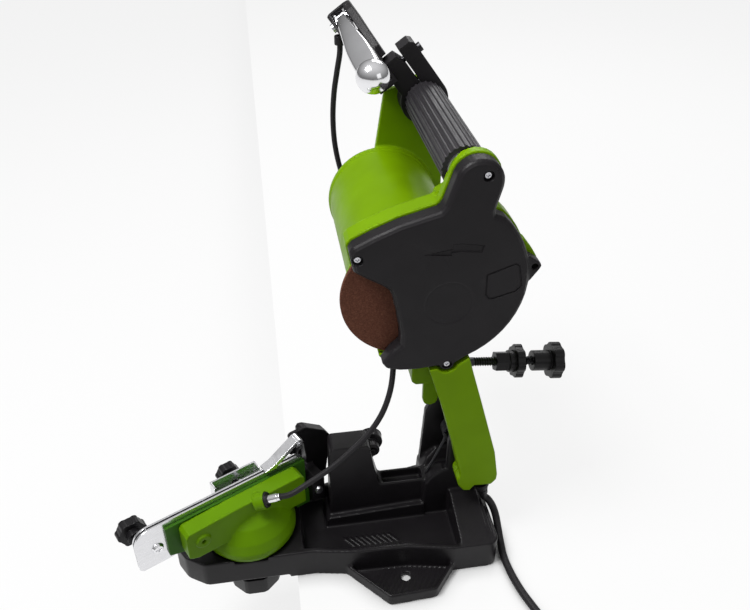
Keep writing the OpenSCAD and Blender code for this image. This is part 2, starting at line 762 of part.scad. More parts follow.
module lever_bracket()
  color([0.1, 0.1, 0.11]) at_handle() difference() {
    union() {
      cheek(lever_x - cheek_gap / 2 - 2.4, 2.4);
      cheek(lever_x + cheek_gap / 2, 2.4);
      // floor of the channel
      difference() {
        cheek(lever_x - cheek_gap / 2 - tiny, cheek_gap + 2 * tiny);
        translate([lever_x - 20, 0, 5]) rotate([90, 0, 90]) linear_extrude(40)
          bracket_side();
        translate([lever_x - 20, pivot_y - 6, pivot_h - 40]) cube([40, 30, 60]);
      }
      // cable stop on the outer cheek
      at_stop() translate([0, 0, -5]) cylinder(h = 8, r = 4.8);
    }
    // room for the lever's eyes
    translate([lever_x - cheek_gap / 2, pivot_y - 5.9, pivot_h - 40])
      cube([cheek_gap, 30, 60]);
    // keep clear of the clamp's ear
    translate([-13, clamp_y - 0.1, 0]) cube([60, clamp_t + 0.2, ear_h + 0.1]);
    translate([lever_x - 20, pivot_y, pivot_h]) rotate([0, 90, 0])
      cylinder(h = 40, r = 2.55);
    // cable
    at_stop() translate([0, 0, -6]) cylinder(h = 6.1, r = cable_d / 2 + run);
    at_stop() cylinder(h = 8, r = 1);
  }

stop_v = -29;
stop_y = pivot_y + 1.5;
stop_h = pivot_h - 10.5;
module at_stop()
  translate([stop_v, stop_y, stop_h]) rotate([0, lever_tilt, 0]) children();

module lever_pivot()
  color([0.7, 0.7, 0.72]) at_handle()
    translate([lever_x - cheek_gap / 2 - 4, pivot_y, pivot_h]) rotate([0, 90, 0]) {
      cylinder(h = cheek_gap + 8, r = 2.5);
      translate([0, 0, -1.4]) cylinder(h = 3, r = 4);
      translate([0, 0, cheek_gap + 6.4]) cylinder(h = 3, r = 4);
    }

// pressed lever: a shallow channel that widens to the ball
module brake_lever()
  color([0.8, 0.8, 0.82]) at_handle() translate([lever_x, pivot_y, pivot_h]) {
    rotate([90, 0, 0]) difference() {
      union() {
        difference() {
          blade(0);
          blade(1.6);
        }
        // eyes on the pivot, and a tail that pulls the cable's nipple
        difference() {
          union() {
            xcyl(-5.8, 5.8, 0, 0, 6.5);
            xcyl(-5.8, 5.8, tail[1], -tail[0], 4.2);
          }
          xcyl(-3.6, 3.6, 2, 0, 14);
        }
      }
      xcyl(-20, 20, 0, 0, 2.5 + run);
      xcyl(-20, 20, tail[1], -tail[0], nipple_r + 0.01);
    }
    // ball end
    translate([0, -lever_len, ball_drop]) sphere(r = ball_d / 2);
  }
ball_drop = -9;
tail = [7.4, 2];
nipple_r = 2.2;

// tapered, bent blade; grow inwards by t to hollow it from below
module blade(t)
  rotate([-90, 0, 0]) for (i = [0 : 2]) {
    a = blade_stations[i];
    b = blade_stations[i + 1];
    hull() {
      blade_section(a, t);
      blade_section(b, t);
    }
  }

// distance from the pivot, half width, top height, depth
blade_stations = [[4, 5.8, 5.5, 9], [38, 6.4, 6, 9], [80, 9.5, 1, 8], [118, 9.5, -5, 8]];
module blade_section(s, t)
  translate([0, -s[0], s[2] - s[3] - (t > 0 ? 3 : 0)]) rotate([90, 0, 0])
    linear_extrude(0.4)
      polygon([[-s[1] + t, 0], [s[1] - t, 0], [s[1] - t - 1, s[3] - t + (t > 0 ? 3 : 0)],
               [-s[1] + t + 1, s[3] - t + (t > 0 ? 3 : 0)]]);

module cable_nipple()
  color([0.6, 0.6, 0.62]) at_handle()
    translate([lever_x, pivot_y + tail[0], pivot_h + tail[1]])
      xcyl(-6, 6, 0, 0, nipple_r);

// ---- brake cable: down behind the motor, under the head and into the vise
cable_top = [hub_x + handle_x + stop_v * cos(lever_tilt) - stop_h * sin(lever_tilt),
             stop_y,
             hub_z + handle_z + stop_v * sin(lever_tilt) + stop_h * cos(lever_tilt)];
cable_route = [
  cable_top, cable_top + [-0.2, 0, -12], [-22.5, 191, 382], [-25.5, 192.5, 362],
  [-27, 193.5, 338], [-25.8, 193, 312], [-21, 189, 286], [-13, 181, 258],
  [-5, 170, 234], [0, 156, 219], [4, 138, 211],
  [6, 118, 207], [6, 94, 204], [5, 66, 201], [3, 40, 196], [0, 20, 186],
  [-5, 6, 170], [-14, -3, 152], [-28, -10, 136], [-46, -15, 121], [-64, -19, 109],
  [-81, -22, 99.5], [-95.3, -24.9, 93], [-104, -23, 89.5]];

module brake_cable()
  color([0.07, 0.07, 0.08]) sweep(smooth(cable_route, 2), cable_d / 2, 8, [1, -1, 1]);

// metal ferrule on the cable's end, pushed into a rubber grommet
ferrule_end = cable_route[len(cable_route) - 1];
ferrule_dir = unit([-1, 0.22, -0.4]);
module at_ferrule() translate(ferrule_end) multmatrix(frame_of(ferrule_dir)) children();
// frame whose Z axis points along d
function frame_of(d) = let (u = unit(cross([0, 0, 1], d)), v = cross(d, u))
  [[u[0], v[0], d[0], 0], [u[1], v[1], d[1], 0], [u[2], v[2], d[2], 0], [0, 0, 0, 1]];

module cable_ferrule()
  color([0.82, 0.82, 0.84]) at_ferrule() {
    translate([0, 0, 0.3]) cylinder(h = 2.7, r = cable_d / 2 + 0.7);
    translate([0, 0, 3 - tiny]) cylinder(h = 13, r = cable_d / 2 + 1.2);
  }

module cable_grommet()
  color([0.06, 0.06, 0.07]) at_ferrule() translate([0, 0, 12]) difference() {
    cylinder(h = 8, r = 6.6);
    translate([0, 0, -1]) cylinder(h = 5.2, r = cable_d / 2 + 1.25);
  }

// ---- depth screw
module depth_screw()
  color([0.13, 0.13, 0.14]) at_rod() difference() {
    cylinder(h = rod_len, r = rod_d / 2);
    for (i = [0 : 40])
      translate([0, 0, 58 + i * 1.75]) rotate_extrude()
        polygon([[rod_d / 2 - 0.5, 0], [rod_d / 2 + 1, -0.7], [rod_d / 2 + 1, 0.7]]);
  }

module depth_knob()
  color([0.09, 0.09, 0.1]) at_rod() translate([0, 0, rod_len - 7])
    knob(16.2, 9, 9, 16, 7, rod_d / 2 + 0.01, 0.38);

module lock_knob()
  color([0.09, 0.09, 0.1]) at_rod() translate([0, 0, 88]) difference() {
    union() {
      translate([0, 0, -12]) cylinder(h = 12.1, r = 9, $fn = 6);
      cylinder(h = 5, r = 9.6);
      translate([0, 0, 5]) linear_extrude(7) {
        circle(13.4);
        for (i = [0 : 6]) rotate(i * 360 / 7) translate([9.6, 0]) circle(5.2);
      }
    }
    translate([0, 0, -13]) cylinder(h = 34, r = rod_d / 2 + run);
  }

// ---- motor
module motor_stator()
  color([0.55, 0.4, 0.25]) at_hub() difference() {
    union() {
      ycyl(0, 0, motor_near + 8, motor_near + motor_len, stator_r - 3);
      ycyl(0, 0, motor_near + 16, motor_near + motor_len - 8, stator_r);
      // feet that locate the stator in the casing
      for (a = [40, 160, 280]) translate([0, motor_near + 20, 0]) rotate([0, a, 0])
        translate([stator_r - 2, 0, -4]) cube([6, 30, 8]);
    }
    ycyl(0, 0, motor_near, motor_near + motor_len + 1, rotor_r + 1);
  }

module motor_rotor()
  color([0.6, 0.6, 0.62]) at_hub() {
    ycyl(0, 0, -12, motor_near + motor_len + 22, shaft_r);
    ycyl(0, 0, motor_near + 14, motor_near + motor_len - 6, rotor_r);
    // fan at the far end
    for (i = [0 : 8]) rotate([0, i * 40, 0])
      translate([shaft_r - 2, motor_near + motor_len + 3, -0.8]) cube([24, 7, 1.6]);
    ycyl(0, 0, motor_near + motor_len + 2, motor_near + motor_len + 4, 28.5);
  }

module motor_bearings()
  color([0.72, 0.72, 0.74]) at_hub() for (y = [motor_near - 8 - bearing_t,
      motor_near + motor_len + 14.5])
    difference() {
      ycyl(0, 0, y + 0.1, y + bearing_t - 0.1, bearing_r - 0.02);
      ycyl(0, 0, y - 1, y + bearing_t + 1, shaft_r + run);
    }

module wheel_flanges()
  color([0.6, 0.6, 0.62]) at_hub() difference() {
    union() {
      ycyl(0, 0, wheel_t / 2 + 0.01, wheel_t / 2 + 4, flange_d / 2);
      ycyl(0, 0, -wheel_t / 2 - 4, -wheel_t / 2 - 0.01, flange_d / 2);
      // pilot in the wheel's bore
      ycyl(0, 0, -wheel_t / 2 + 0.3, wheel_t / 2 + 1, wheel_bore / 2 - 0.03);
    }
    ycyl(0, 0, -20, 20, shaft_r + 0.01);
  }

module arbor_nut()
  color([0.6, 0.6, 0.62]) at_hub() difference() {
    ycyl(0, 0, -wheel_t / 2 - 9, -wheel_t / 2 - 4.02, 8.5, 6);
    ycyl(0, 0, -20, 20, shaft_r + 0.01);
  }

module grinding_wheel()
  color([0.36, 0.19, 0.13]) at_hub() rotate([90, 0, 0]) rotate_extrude($fn = 96)
    polygon([[wheel_bore / 2, -wheel_t / 2], [wheel_d / 2 - 0.6, -wheel_t / 2],
             [wheel_d / 2, -wheel_t / 2 + 0.6], [wheel_d / 2, wheel_t / 2 - 0.6],
             [wheel_d / 2 - 0.6, wheel_t / 2], [wheel_bore / 2, wheel_t / 2]]);

module switch_body()
  color([0.08, 0.08, 0.09]) at_hub() translate([casing_x, casing_end, casing_z + 22.5])
    difference() {
      union() {
        translate([-11, -12, -7.5]) cube([22, cap_t + 10.8, 15]);
        translate([-13, cap_t - 1.5 + 0.05, -9.5]) cube([26, 1.6, 19]);
      }
      translate([-8.5, cap_t - 8, -5.5]) cube([17, 20, 11]);
    }

module switch_rocker()
  color([0.5, 0.06, 0.05]) at_hub() translate([casing_x, casing_end + cap_t - 2, casing_z + 22.5])
{
      slab_x(-8, 8) polygon([[-3, -5], [3.4, -5], [1.6, 0], [2.6, 5], [-3, 5]]);
      // trunnions
      xcyl(-8.3, 8.3, 0, 0, 1.6);
    }

// an outline in Y and Z, thick along X
module slab_x(x0, x1)
  translate([x0, 0, 0]) rotate([90, 0, 90]) linear_extrude(x1 - x0) children();

// ================================================================== VISE
module vise_body()
  color([0.2, 0.4, 0.05]) at_vise() difference() {
    union() {
      // turntable
      translate([0, 0, pad_h + seat]) rotate_extrude($fn = 72)
        polygon([[0, 0], [table_r - 1.5, 0], [table_r, 2], [table_r, 12],
                 [table_r - 5, 22], [table_r - 12, 28], [0, 28]]);
      // core behind the near rail
      slab(core_near, rail_near_y - 0.02) polygon([[-77, 52], [-77, rail_top - 5],
        [rail_rear, rail_top - 5], [rail_rear, 44], [-30, 44], [-60, 47]]);
      // guide block behind the far rail
      slab(rail_far_y + rail_t + 2.2, 13) polygon([[-34, 34], [-34, rail_top - 27],
        [-30, rail_top - 23], [40, rail_top - 23], [44, rail_top - 27], [44, 34]]);
      // rear post under the arch
      translate([44, -11, pad_h + 8]) cube([14, 24, 30]);
    }
    // channel for the rails, open at the top
    translate([-120, rail_near_y - 0.02, 44]) cube([200, rail_far_y + rail_t + 2.24 - rail_near_y, 80]);
    // seat of the near cover on the dome
    translate([-70, -60, 51.7]) cube([130, 60 + core_near, 40]);
    // pull rod
    ycyl(jaw_x, jaw_z, -30, 30, pull_r + run);
    zcyl(0, 0, 0, 42, 3.95);
    zcyl(0, 0, pad_h + 12, 43, 7.6, 6);
    // screws of the arch
    for (z = [48, 60]) ycyl(51, z, -20, 0, 1.7);
  }

module vise_cover()
  color([0.4, 0.64, 0.05]) difference() {
    union() {
      at_vise() {
        difference() {
          slab(cover_near, core_near - seat) polygon([[-66, 56], [-66, rail_top - 10],
            [-63, rail_top - 6.5], [-20, rail_top - 4.5], [44, rail_top - 4],
            [48, rail_top - 8], [48, 52], [-58, 52], [-63, 54]]);
          slab(cover_near + wall, core_near) polygon([[-60, 56], [-60, rail_top - 12],
            [40, rail_top - 11], [40, 55]]);
        }
        // boss of the front screw
        ycyl(-52, 70, cover_near - 2, core_near - seat, 6.5);
        // belly over the turntable
        intersection() {
          translate([0, 0, pad_h + seat]) rotate_extrude($fn = 72)
            polygon([[table_r + 0.4, 0.6], [table_r + 3, 2], [table_r + 3.6, 4.4],
                     [table_r + 6, 8], [table_r + 6, 13], [table_r + 3, 22],
                     [table_r - 4, 34], [table_r - 14, 42], [table_r - 14, 30],
                     [table_r - 4, 22], [table_r + 0.4, 12]]);
          translate([-60, -60, 0]) cube([120, 60 + core_near - seat, 100]);
        }
      }
      // pocket where the cable comes in
      at_ferrule() translate([0, 0, 13.6]) cylinder(h = 10, r = 7.8);
    }
    at_vise() {
      ycyl(-52, 70, cover_near - 10, core_near + 1, 1.9);
      ycyl(jaw_x, jaw_z, cover_near + wall, core_near + 1, 5);
    }
    // seat of the grommet
    at_ferrule() translate([0, 0, -5]) cylinder(h = 25.2, r = 6.65);
  }

module rail_plate(y0)
  slab(y0, y0 + rail_t) difference() {
    union() {
      translate([rail_front + 14, rail_top - 14]) circle(14);
      polygon([[rail_front, rail_top - 14], [rail_front, rail_foot + 3],
        [rail_front + 3, rail_foot], [rail_front + 30, rail_foot],
        [rail_front + 34, rail_foot + 8], [rail_rear, rail_foot + 8],
        [rail_rear, rail_top - 4], [rail_rear - 6, rail_top],
        [rail_front + 14, rail_top]]);
    }
    translate([-85, 65]) circle(2.6);
    translate([jaw_x, jaw_z]) circle(pull_r + (y0 < 0 ? 0.3 : 0.01));
  }

module rail_near() color([0.78, 0.78, 0.8]) at_vise() rail_plate(rail_near_y);

module rail_far()
  color([0.74, 0.74, 0.76]) at_vise() {
    rail_plate(rail_far_y);
  }

module pull_rod()
  color([0.6, 0.6, 0.62]) at_vise() {
    ycyl(jaw_x, jaw_z, cover_near + 6, 18, pull_r);
    ycyl(jaw_x, jaw_z, rail_far_y + rail_t + 0.02, rail_far_y + rail_t + 1.8, 3.2);
    ycyl(jaw_x, jaw_z, -14, -12.6, 4.4);
  }

module jaw_spring()
  color([0.5, 0.5, 0.52]) at_vise() difference() {
    ycyl(jaw_x, jaw_z, cover_near + wall + 0.2, -14.1, 4);
    ycyl(jaw_x, jaw_z, -30, 0, 2.6);
  }

module rail_screw()
  color([0.8, 0.8, 0.82]) at_vise() {
    translate([-85, rail_near_y - 0.01, 65]) rotate([90, 0, 0]) pan_screw(5.4, 2.6, 2.5, 0.1);
    ycyl(-85, 65, rail_near_y - 0.1, rail_far_y + rail_t + 6, 2.5);
  }

// hand knob on a horizontal stem behind the rails
module side_knob(x, z, y0, stem, r)
  translate([x, y0, z]) rotate([-90, 0, 0]) {
    cylinder(h = stem + 1, r = 3.4);
    translate([0, 0, stem]) knob(r, 9, r * 0.5, 6, 6, 0.5);
  }

module rail_knob()
  color([0.09, 0.09, 0.1]) at_vise()
    side_knob(-97, 70, rail_far_y + rail_t + seat, 16, 13);

module u_bracket()
  color([0.78, 0.78, 0.8]) at_vise() difference() {
    translate([-23, 13.05, 58]) cube([45, 10, 24]);
    translate([-21.4, 12, 60]) cube([41.8, 9.4, 40]);
    ycyl(0, 69, 10, 30, 3.5);
  }

module mid_knob()
  color([0.09, 0.09, 0.1]) at_vise() side_knob(0, 69, 23.3, 7, 11);

// arch at the rear end of the rails, which holds the chain stop
arch_near = rail_far_y + rail_t + 2.7;
module arch_bracket()
  color([0.1, 0.1, 0.11]) at_vise() difference() {
    union() {
      slab(arch_near, 15) polygon([[63, 38], [66.5, 62], [66, 77], [64.5, 92], [62, 101],
        [62, 109], [64.5, 111.5], [69, 110], [88, 96], [93, 88], [92.5, 80], [86, 38]]);
      // lug of the pawl's pin
      slab(arch_near, arch_near + 4) hull() {
        translate([54, 107]) circle(3.8);
        translate([65, 106.5]) circle(4.6);
      }
      slab(-16, 15) polygon([[58.3, 38], [58.3, 60], [63, 66], [72, 66], [72, 38]]);
    }
    ycyl(54, 107, -20, 30, 2 + run);
    ycyl(65, 51, -17, -4, 0.55);
    ycyl(70, 71, 10, 16, 2.6);
  }

module bracket_screws()
  color([0.6, 0.6, 0.62]) at_vise()
    translate([65, -16, 51]) rotate([90, 0, 0]) {
      cylinder(h = 2.4, r1 = 4.4, r2 = 3.4);
      translate([0, 0, -10]) cylinder(h = 10, r = 0.5);
    }

// strip that drops on to the chain and stops the cutter
module chain_pawl()
  color([0.82, 0.82, 0.84]) at_vise() difference() {
    union() {
      slab(-5, 5) polygon([[52, 111], [56.5, 109], [31, 92.6], [30, 90.8], [19, 90.8],
        [19, 92.4], [27, 95]]);
      ycyl(54, 107, -5, 5, 4.4);
    }
    ycyl(54, 107, -20, 20, 2 + run);
  }

module pawl_pin()
  color([0.6, 0.6, 0.62]) at_vise() ycyl(54, 107, -6.4, arch_near + 5, 2);

module pawl_knob()
  color([0.09, 0.09, 0.1]) at_vise() side_knob(70, 71, 15.3, 7, 12.5);

module swivel_bolt()
  color([0.6, 0.6, 0.62]) translate([swivel_x, 0, 0]) {
    translate([0, 0, -23]) cylinder(h = 65, r = 3.9);
    translate([0, 0, pad_h + 12.2]) rotate(vise_turn) cylinder(h = 3.5, r = 7.4, $fn = 6);
  }

module angle_knob()
  color([0.09, 0.09, 0.1]) translate([swivel_x, 0, -39]) difference() {
    union() {
      intersection() {
        cylinder(h = 19, r = 23.2);
        rotate(22.5) cylinder(h = 19, r = 24, $fn = 8);
      }
      cylinder(h = 42 - seat, r = 13);
      translate([0, 0, 19 - tiny]) cylinder(h = 3, r1 = 20, r2 = 17);
    }
    translate([0, 0, 15]) cylinder(h = 60, r = 3.9 + run);
  }

// ================================================================== CORD
// from the arm's tail over the ramp's edge and down to the bench
relief_end = [hinge_x + 20 + 14 * sin(14), arm_seam, hinge_z - 44 - 14 * cos(14)];
bench = cord_d / 2;
coil_x = 163;
coil_y = -226;
coil_out = 50.5;
coil_pitch = cord_d + 0.6;
coil_turns = 3;
coil_lift = cord_d + 0.6;
coil_lead = 1;
cord_route = [
  relief_end, relief_end + [1.2, 0, -5], [86.5, -9.5, 38], [91, -11.5, 30],
  [93.6, -16, 21.5], [94.2, -24, 13.5], [93.8, -35, 7.6], [93.2, -47, 4.2],
  [93.6, -59, bench], [95.4, -74, bench], [98.6, -89, bench], [103, -103, bench],
  [107.6, -117, bench], [111, -133, bench], [112.4, -150, bench],
  [112.5, -168, bench], [112.5, -188, bench], [112.5, -208, bench],
  [coil_x - coil_out, coil_y + coil_lead, bench]];

module power_cord()
  color([0.07, 0.07, 0.08]) sweep(smooth(cord_route, 2), cord_d / 2, 8, [1, 1, 0.6]);

// flat round coil in two layers: in towards the middle, up, and out again
coil_steps = 24;
coil_half = coil_turns * coil_steps;
coil_climb = coil_steps / 2;
coil_last = 2 * coil_half + coil_climb;
function coil_at(i) =
  let (down = min(i, coil_half + coil_climb / 2),
       up = max(i - coil_half - coil_climb / 2, 0),
       rise = min(max(i - coil_half, 0), coil_climb) / coil_climb,
       r = coil_out - coil_pitch * (down - up) / coil_steps,
       a = 180 + i * 360 / coil_steps)
  [coil_x + r * cos(a), coil_y + r * sin(a),
   bench + coil_lift * (1 - cos(180 * rise)) / 2];
coil_end = coil_at(coil_last);
// the turns, then the tail that comes down to the plug
coil_path = concat([coil_at(0) + [0, coil_lead, 0]], [for (i = [0 : coil_last]) coil_at(i)],
  [for (k = [1 : 5]) coil_end + [0, 5 * k,
    (7.5 - coil_end[2]) * (1 - cos(180 * k / 5)) / 2]]);

// least gap between the coil's own turns
coil_gap = min([for (i = [0 : coil_last - coil_climb],
  j = [i + coil_climb : len(coil_path) - 1]) norm(coil_path[i] - coil_path[j])]) - cord_d;
echo(coil_least_gap = coil_gap, coil_length = sum_of(coil_path),
     run_length = sum_of(smooth(cord_route, 2)));
function sum_of(p, i = 0) =
  i >= len(p) - 1 ? 0 : norm(p[i + 1] - p[i]) + sum_of(p, i + 1);

module cord_coil()
  color([0.07, 0.07, 0.08]) sweep(coil_path, cord_d / 2, 6, [0, 0, 1]);

// plug on the coil's free end
plug_at = coil_path[len(coil_path) - 1];
module at_plug() translate(plug_at) rotate([0, 0, 90]) rotate([0, 90, 0]) children();

module plug_body()
  color([0.08, 0.08, 0.09]) at_plug() {
    translate([0, 0, 0.25]) cylinder(h = 7.75, r1 = cord_d / 2, r2 = 4.6);
    translate([0, 0, 8 - tiny]) cylinder(h = 10, r1 = 5.4, r2 = 7.5);
    translate([0, 0, 18 - 2 * tiny]) intersection() {
      cylinder(h = 18, r1 = 8, r2 = 18);
      translate([-7.5, -18, 0]) cube([15, 36, 18]);
    }
    translate([0, 0, 36 - 3 * tiny]) intersection() {
      cylinder(h = 6, r = 18);
      translate([-7.5, -18, 0]) cube([15, 36, 6]);
    }
  }

module plug_pins()
  color([0.75, 0.75, 0.77]) at_plug() for (s = [-1, 1])
    translate([0, s * 9.5, 42 - tiny]) {
      cylinder(h = 18, r = 2.35);
      translate([0, 0, 18 - tiny]) cylinder(h = 1, r1 = 2.35, r2 = 1.4);
    }

// ------------------------------------------------------------------ drawing
base();
stop_knob();
torsion_spring();
power_cord();
cord_coil();
plug_body();
plug_pins();
motor_housing();
end_cap();
end_cap_screws();
wheel_cover();
cover_screws();
arm_shell_near();
arm_shell_far();
arm_screws();
hinge_pin();
strain_relief();
handle_tube();
grip();
lever_clamp();
clamp_screw();
lever_bracket();
lever_pivot();
brake_lever();
cable_nipple();
brake_cable();
cable_ferrule();
cable_grommet();
depth_screw();
depth_knob();
lock_knob();
motor_stator();
motor_rotor();
motor_bearings();
wheel_flanges();
arbor_nut();
grinding_wheel();
switch_body();
switch_rocker();
vise_body();
vise_cover();
rail_near();
rail_far();
pull_rod();
jaw_spring();
rail_screw();
rail_knob();
u_bracket();
mid_knob();
arch_bracket();
bracket_screws();
chain_pawl();
pawl_pin();
pawl_knob();
swivel_bolt();
angle_knob();
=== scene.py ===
# %% [markdown]
# # Electric chain sharpener
# A bench tool that grinds saw chain: a motor head on a sprung hinge, a brake lever
# on its handle, and a vise that swivels. The solid model is loaded as a fixed frame,
# and every finished piece is built around it, in metres and in the same places.

# %% The frame
import json
import math

import bmesh
import bpy
import numpy as np
from mathutils import Matrix, Vector

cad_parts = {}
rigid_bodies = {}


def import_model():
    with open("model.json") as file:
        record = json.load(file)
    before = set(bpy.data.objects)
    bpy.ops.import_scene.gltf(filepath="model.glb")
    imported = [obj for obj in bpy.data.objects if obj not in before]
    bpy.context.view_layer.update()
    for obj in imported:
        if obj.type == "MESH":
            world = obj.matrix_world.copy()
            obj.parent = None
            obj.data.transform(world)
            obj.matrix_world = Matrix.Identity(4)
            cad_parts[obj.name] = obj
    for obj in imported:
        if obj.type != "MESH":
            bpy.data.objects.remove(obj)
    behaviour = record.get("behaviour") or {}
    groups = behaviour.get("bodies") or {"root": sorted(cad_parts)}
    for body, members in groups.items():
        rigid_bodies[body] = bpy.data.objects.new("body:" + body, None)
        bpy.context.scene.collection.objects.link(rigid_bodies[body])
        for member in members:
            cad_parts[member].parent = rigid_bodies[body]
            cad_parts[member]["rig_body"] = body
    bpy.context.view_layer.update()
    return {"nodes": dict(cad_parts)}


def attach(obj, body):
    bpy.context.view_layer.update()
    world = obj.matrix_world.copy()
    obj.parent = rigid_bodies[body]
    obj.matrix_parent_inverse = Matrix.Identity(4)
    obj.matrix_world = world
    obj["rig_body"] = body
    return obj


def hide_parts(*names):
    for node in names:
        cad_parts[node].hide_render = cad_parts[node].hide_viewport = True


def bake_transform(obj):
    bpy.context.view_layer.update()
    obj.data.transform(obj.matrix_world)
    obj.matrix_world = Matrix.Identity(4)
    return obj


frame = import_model()
nodes = frame["nodes"]
MM = 0.001

# %% [markdown]
# ## Camera
# The photograph looks down on the machine by about 35 degrees, from a little to the
# left of square. Two lines that are parallel on the real thing meet at one point in a
# picture, and those points give the lens and the tilt, so the camera is set by numbers
# and not by eye.

# %% Camera
CAMERA_AT = Vector((-0.0965, -0.490, 0.604))
LOOK_DOWN = math.radians(34.5)
LOOK_RIGHT = math.radians(9.0)
SENSOR_WIDTH = 36.0
FOCAL_PIXELS, PICTURE_PIXELS = 786.0, 750.0


def placed(name, data):
    """A new object with its data, linked to the scene."""
    item = bpy.data.objects.new(name, data)
    bpy.context.scene.collection.objects.link(item)
    return item


def face(item, way):
    """Turns a camera or a lamp, which look down their own Z axis, along a direction."""
    item.rotation_mode = "QUATERNION"
    item.rotation_quaternion = way.to_track_quat("-Z", "Y")


camera_data = bpy.data.cameras.new("camera")
camera_data.sensor_width = SENSOR_WIDTH
camera_data.lens = FOCAL_PIXELS / PICTURE_PIXELS * SENSOR_WIDTH
camera_data.clip_start, camera_data.clip_end = 0.01, 50.0
camera = placed("camera", camera_data)
camera.location = CAMERA_AT
face(camera, Vector((math.sin(LOOK_RIGHT) * math.cos(LOOK_DOWN),
                     math.cos(LOOK_RIGHT) * math.cos(LOOK_DOWN), -math.sin(LOOK_DOWN))))
bpy.context.scene.camera = camera
print("lens", round(camera_data.lens, 2), "mm")

# %% [markdown]
# ## A shader kit
# All finishes share a few habits: a principled shader, a noise in the object's own
# coordinates, and a bump. Small helpers keep each finish down to what makes it
# different. Object coordinates are used because the pieces lie in metres in one frame,
# so one scale means the same grain size everywhere.

# %% Shader helpers
NOISE_LOW, NOISE_HIGH = 0.3, 0.7    # most of a noise texture lies between these


def new_finish(name, color, rough, metal=0.0, coat=0.0, specular=0.5):
    """A material, its node tree and its principled shader."""
    finish = bpy.data.materials.new(name)
    finish.use_nodes = True
    tree = finish.node_tree
    shader = tree.nodes["Principled BSDF"]
    shader.inputs["Base Color"].default_value = (*color, 1.0)
    shader.inputs["Roughness"].default_value = rough
    shader.inputs["Metallic"].default_value = metal
    shader.inputs["Coat Weight"].default_value = coat
    shader.inputs["Specular IOR Level"].default_value = specular
    return finish, tree, shader


def place_in(tree, stretch=(1.0, 1.0, 1.0)):
    """Object coordinates, stretched along the axes."""
    where = tree.nodes.new("ShaderNodeTexCoord")
    mapping = tree.nodes.new("ShaderNodeMapping")
    mapping.inputs["Scale"].default_value = stretch
    tree.links.new(where.outputs["Object"], mapping.inputs["Vector"])
    return mapping.outputs["Vector"]


def noise(tree, where, scale, detail=3.0, rough=0.55):
    """Cloudy noise; scale is in cells per metre."""
    node = tree.nodes.new("ShaderNodeTexNoise")
    node.inputs["Scale"].default_value = scale
    node.inputs["Detail"].default_value = detail
    node.inputs["Roughness"].default_value = rough
    tree.links.new(where, node.inputs["Vector"])
    return node.outputs["Fac"]


def ramp(tree, value, stops):
    """A colour ramp through (position, colour) stops."""
    node = tree.nodes.new("ShaderNodeValToRGB")
    bar = node.color_ramp
    for i, (at, color) in enumerate(stops):
        stop = bar.elements[i] if i < 2 else bar.elements.new(at)
        stop.position = at
        stop.color = (*color, 1.0)
    tree.links.new(value, node.inputs["Fac"])
    return node.outputs["Color"]


def spread(tree, value, low, high, start=NOISE_LOW, end=NOISE_HIGH):
    """Maps a value from start..end to low..high."""
    node = tree.nodes.new("ShaderNodeMapRange")
    node.inputs["From Min"].default_value = start
    node.inputs["From Max"].default_value = end
    node.inputs["To Min"].default_value = low
    node.inputs["To Max"].default_value = high
    tree.links.new(value, node.inputs["Value"])
    return node.outputs["Result"]


def bump(tree, shader, height, strength, depth, before=None):
    """Bumps the surface by a height; depth in metres. Returns the normal."""
    node = tree.nodes.new("ShaderNodeBump")
    node.inputs["Strength"].default_value = strength
    node.inputs["Distance"].default_value = depth
    tree.links.new(height, node.inputs["Height"])
    if before is not None:
        tree.links.new(before, node.inputs["Normal"])
    tree.links.new(node.outputs["Normal"], shader.inputs["Normal"])
    return node.outputs["Normal"]


def tint(color, gain):
    """A colour made lighter or darker."""
    return tuple(min(1.0, c * gain) for c in color)


print("shader kit ready")

# %% [markdown]
# ## Moulded plastics and painted castings
# The green housing is a satin moulding, the black cover a finer, greyer grain, and the
# base a painted casting with a slight orange peel. Each one gets a broad colour drift,
# a fine grain in the bump, and a little wander in its roughness, which is what keeps a
# large plain face from looking like paper.

# %% Plastics and paints
DRIFT_CELLS, WANDER_CELLS = 22.0, 60.0


def moulded(name, color, rough, grain, drift=0.10, depth=0.00012, strength=0.35,
            specular=0.3):
    """A plastic or a paint: grain is in cells per metre, depth in metres."""
    finish, tree, shader = new_finish(name, color, rough, specular=specular)
    where = place_in(tree)
    broad = noise(tree, where, DRIFT_CELLS, 2.0)
    tree.links.new(ramp(tree, broad, [(NOISE_LOW, tint(color, 1.0 - drift)),
                                      (NOISE_HIGH, tint(color, 1.0 + drift))]),
                   shader.inputs["Base Color"])
    fine = noise(tree, where, grain, 2.0, 0.6)
    tree.links.new(spread(tree, noise(tree, where, WANDER_CELLS, 3.0), rough - 0.05,
                          rough + 0.07), shader.inputs["Roughness"])
    bump(tree, shader, fine, strength, depth)
    return finish


green_moulding = moulded("green_moulding", (0.138, 0.262, 0.0008), 0.36, 1500.0, 0.07,
                          specular=0.07)
green_casting = moulded("green_casting", (0.092, 0.200, 0.0008), 0.38, 900.0, 0.09,
                        strength=0.45, specular=0.08)
dark_green = moulded("dark_green_casting", (0.026, 0.100, 0.003), 0.45, 900.0, 0.10,
                     specular=0.15)
black_moulding = moulded("black_grained_moulding", (0.0110, 0.0098, 0.0112), 0.44, 2200.0,
                         0.12, strength=0.5, specular=0.17)
black_casting = moulded("black_painted_casting", (0.0080, 0.0070, 0.0082), 0.36, 1100.0, 0.15,
                        depth=0.00016, strength=0.5, specular=0.19)
black_knob = moulded("black_knob", (0.0070, 0.0064, 0.0074), 0.32, 1700.0, 0.12,
                     specular=0.22)
black_rubber = moulded("black_rubber", (0.0110, 0.0100, 0.0114), 0.50, 2600.0, 0.15,
                       specular=0.22)
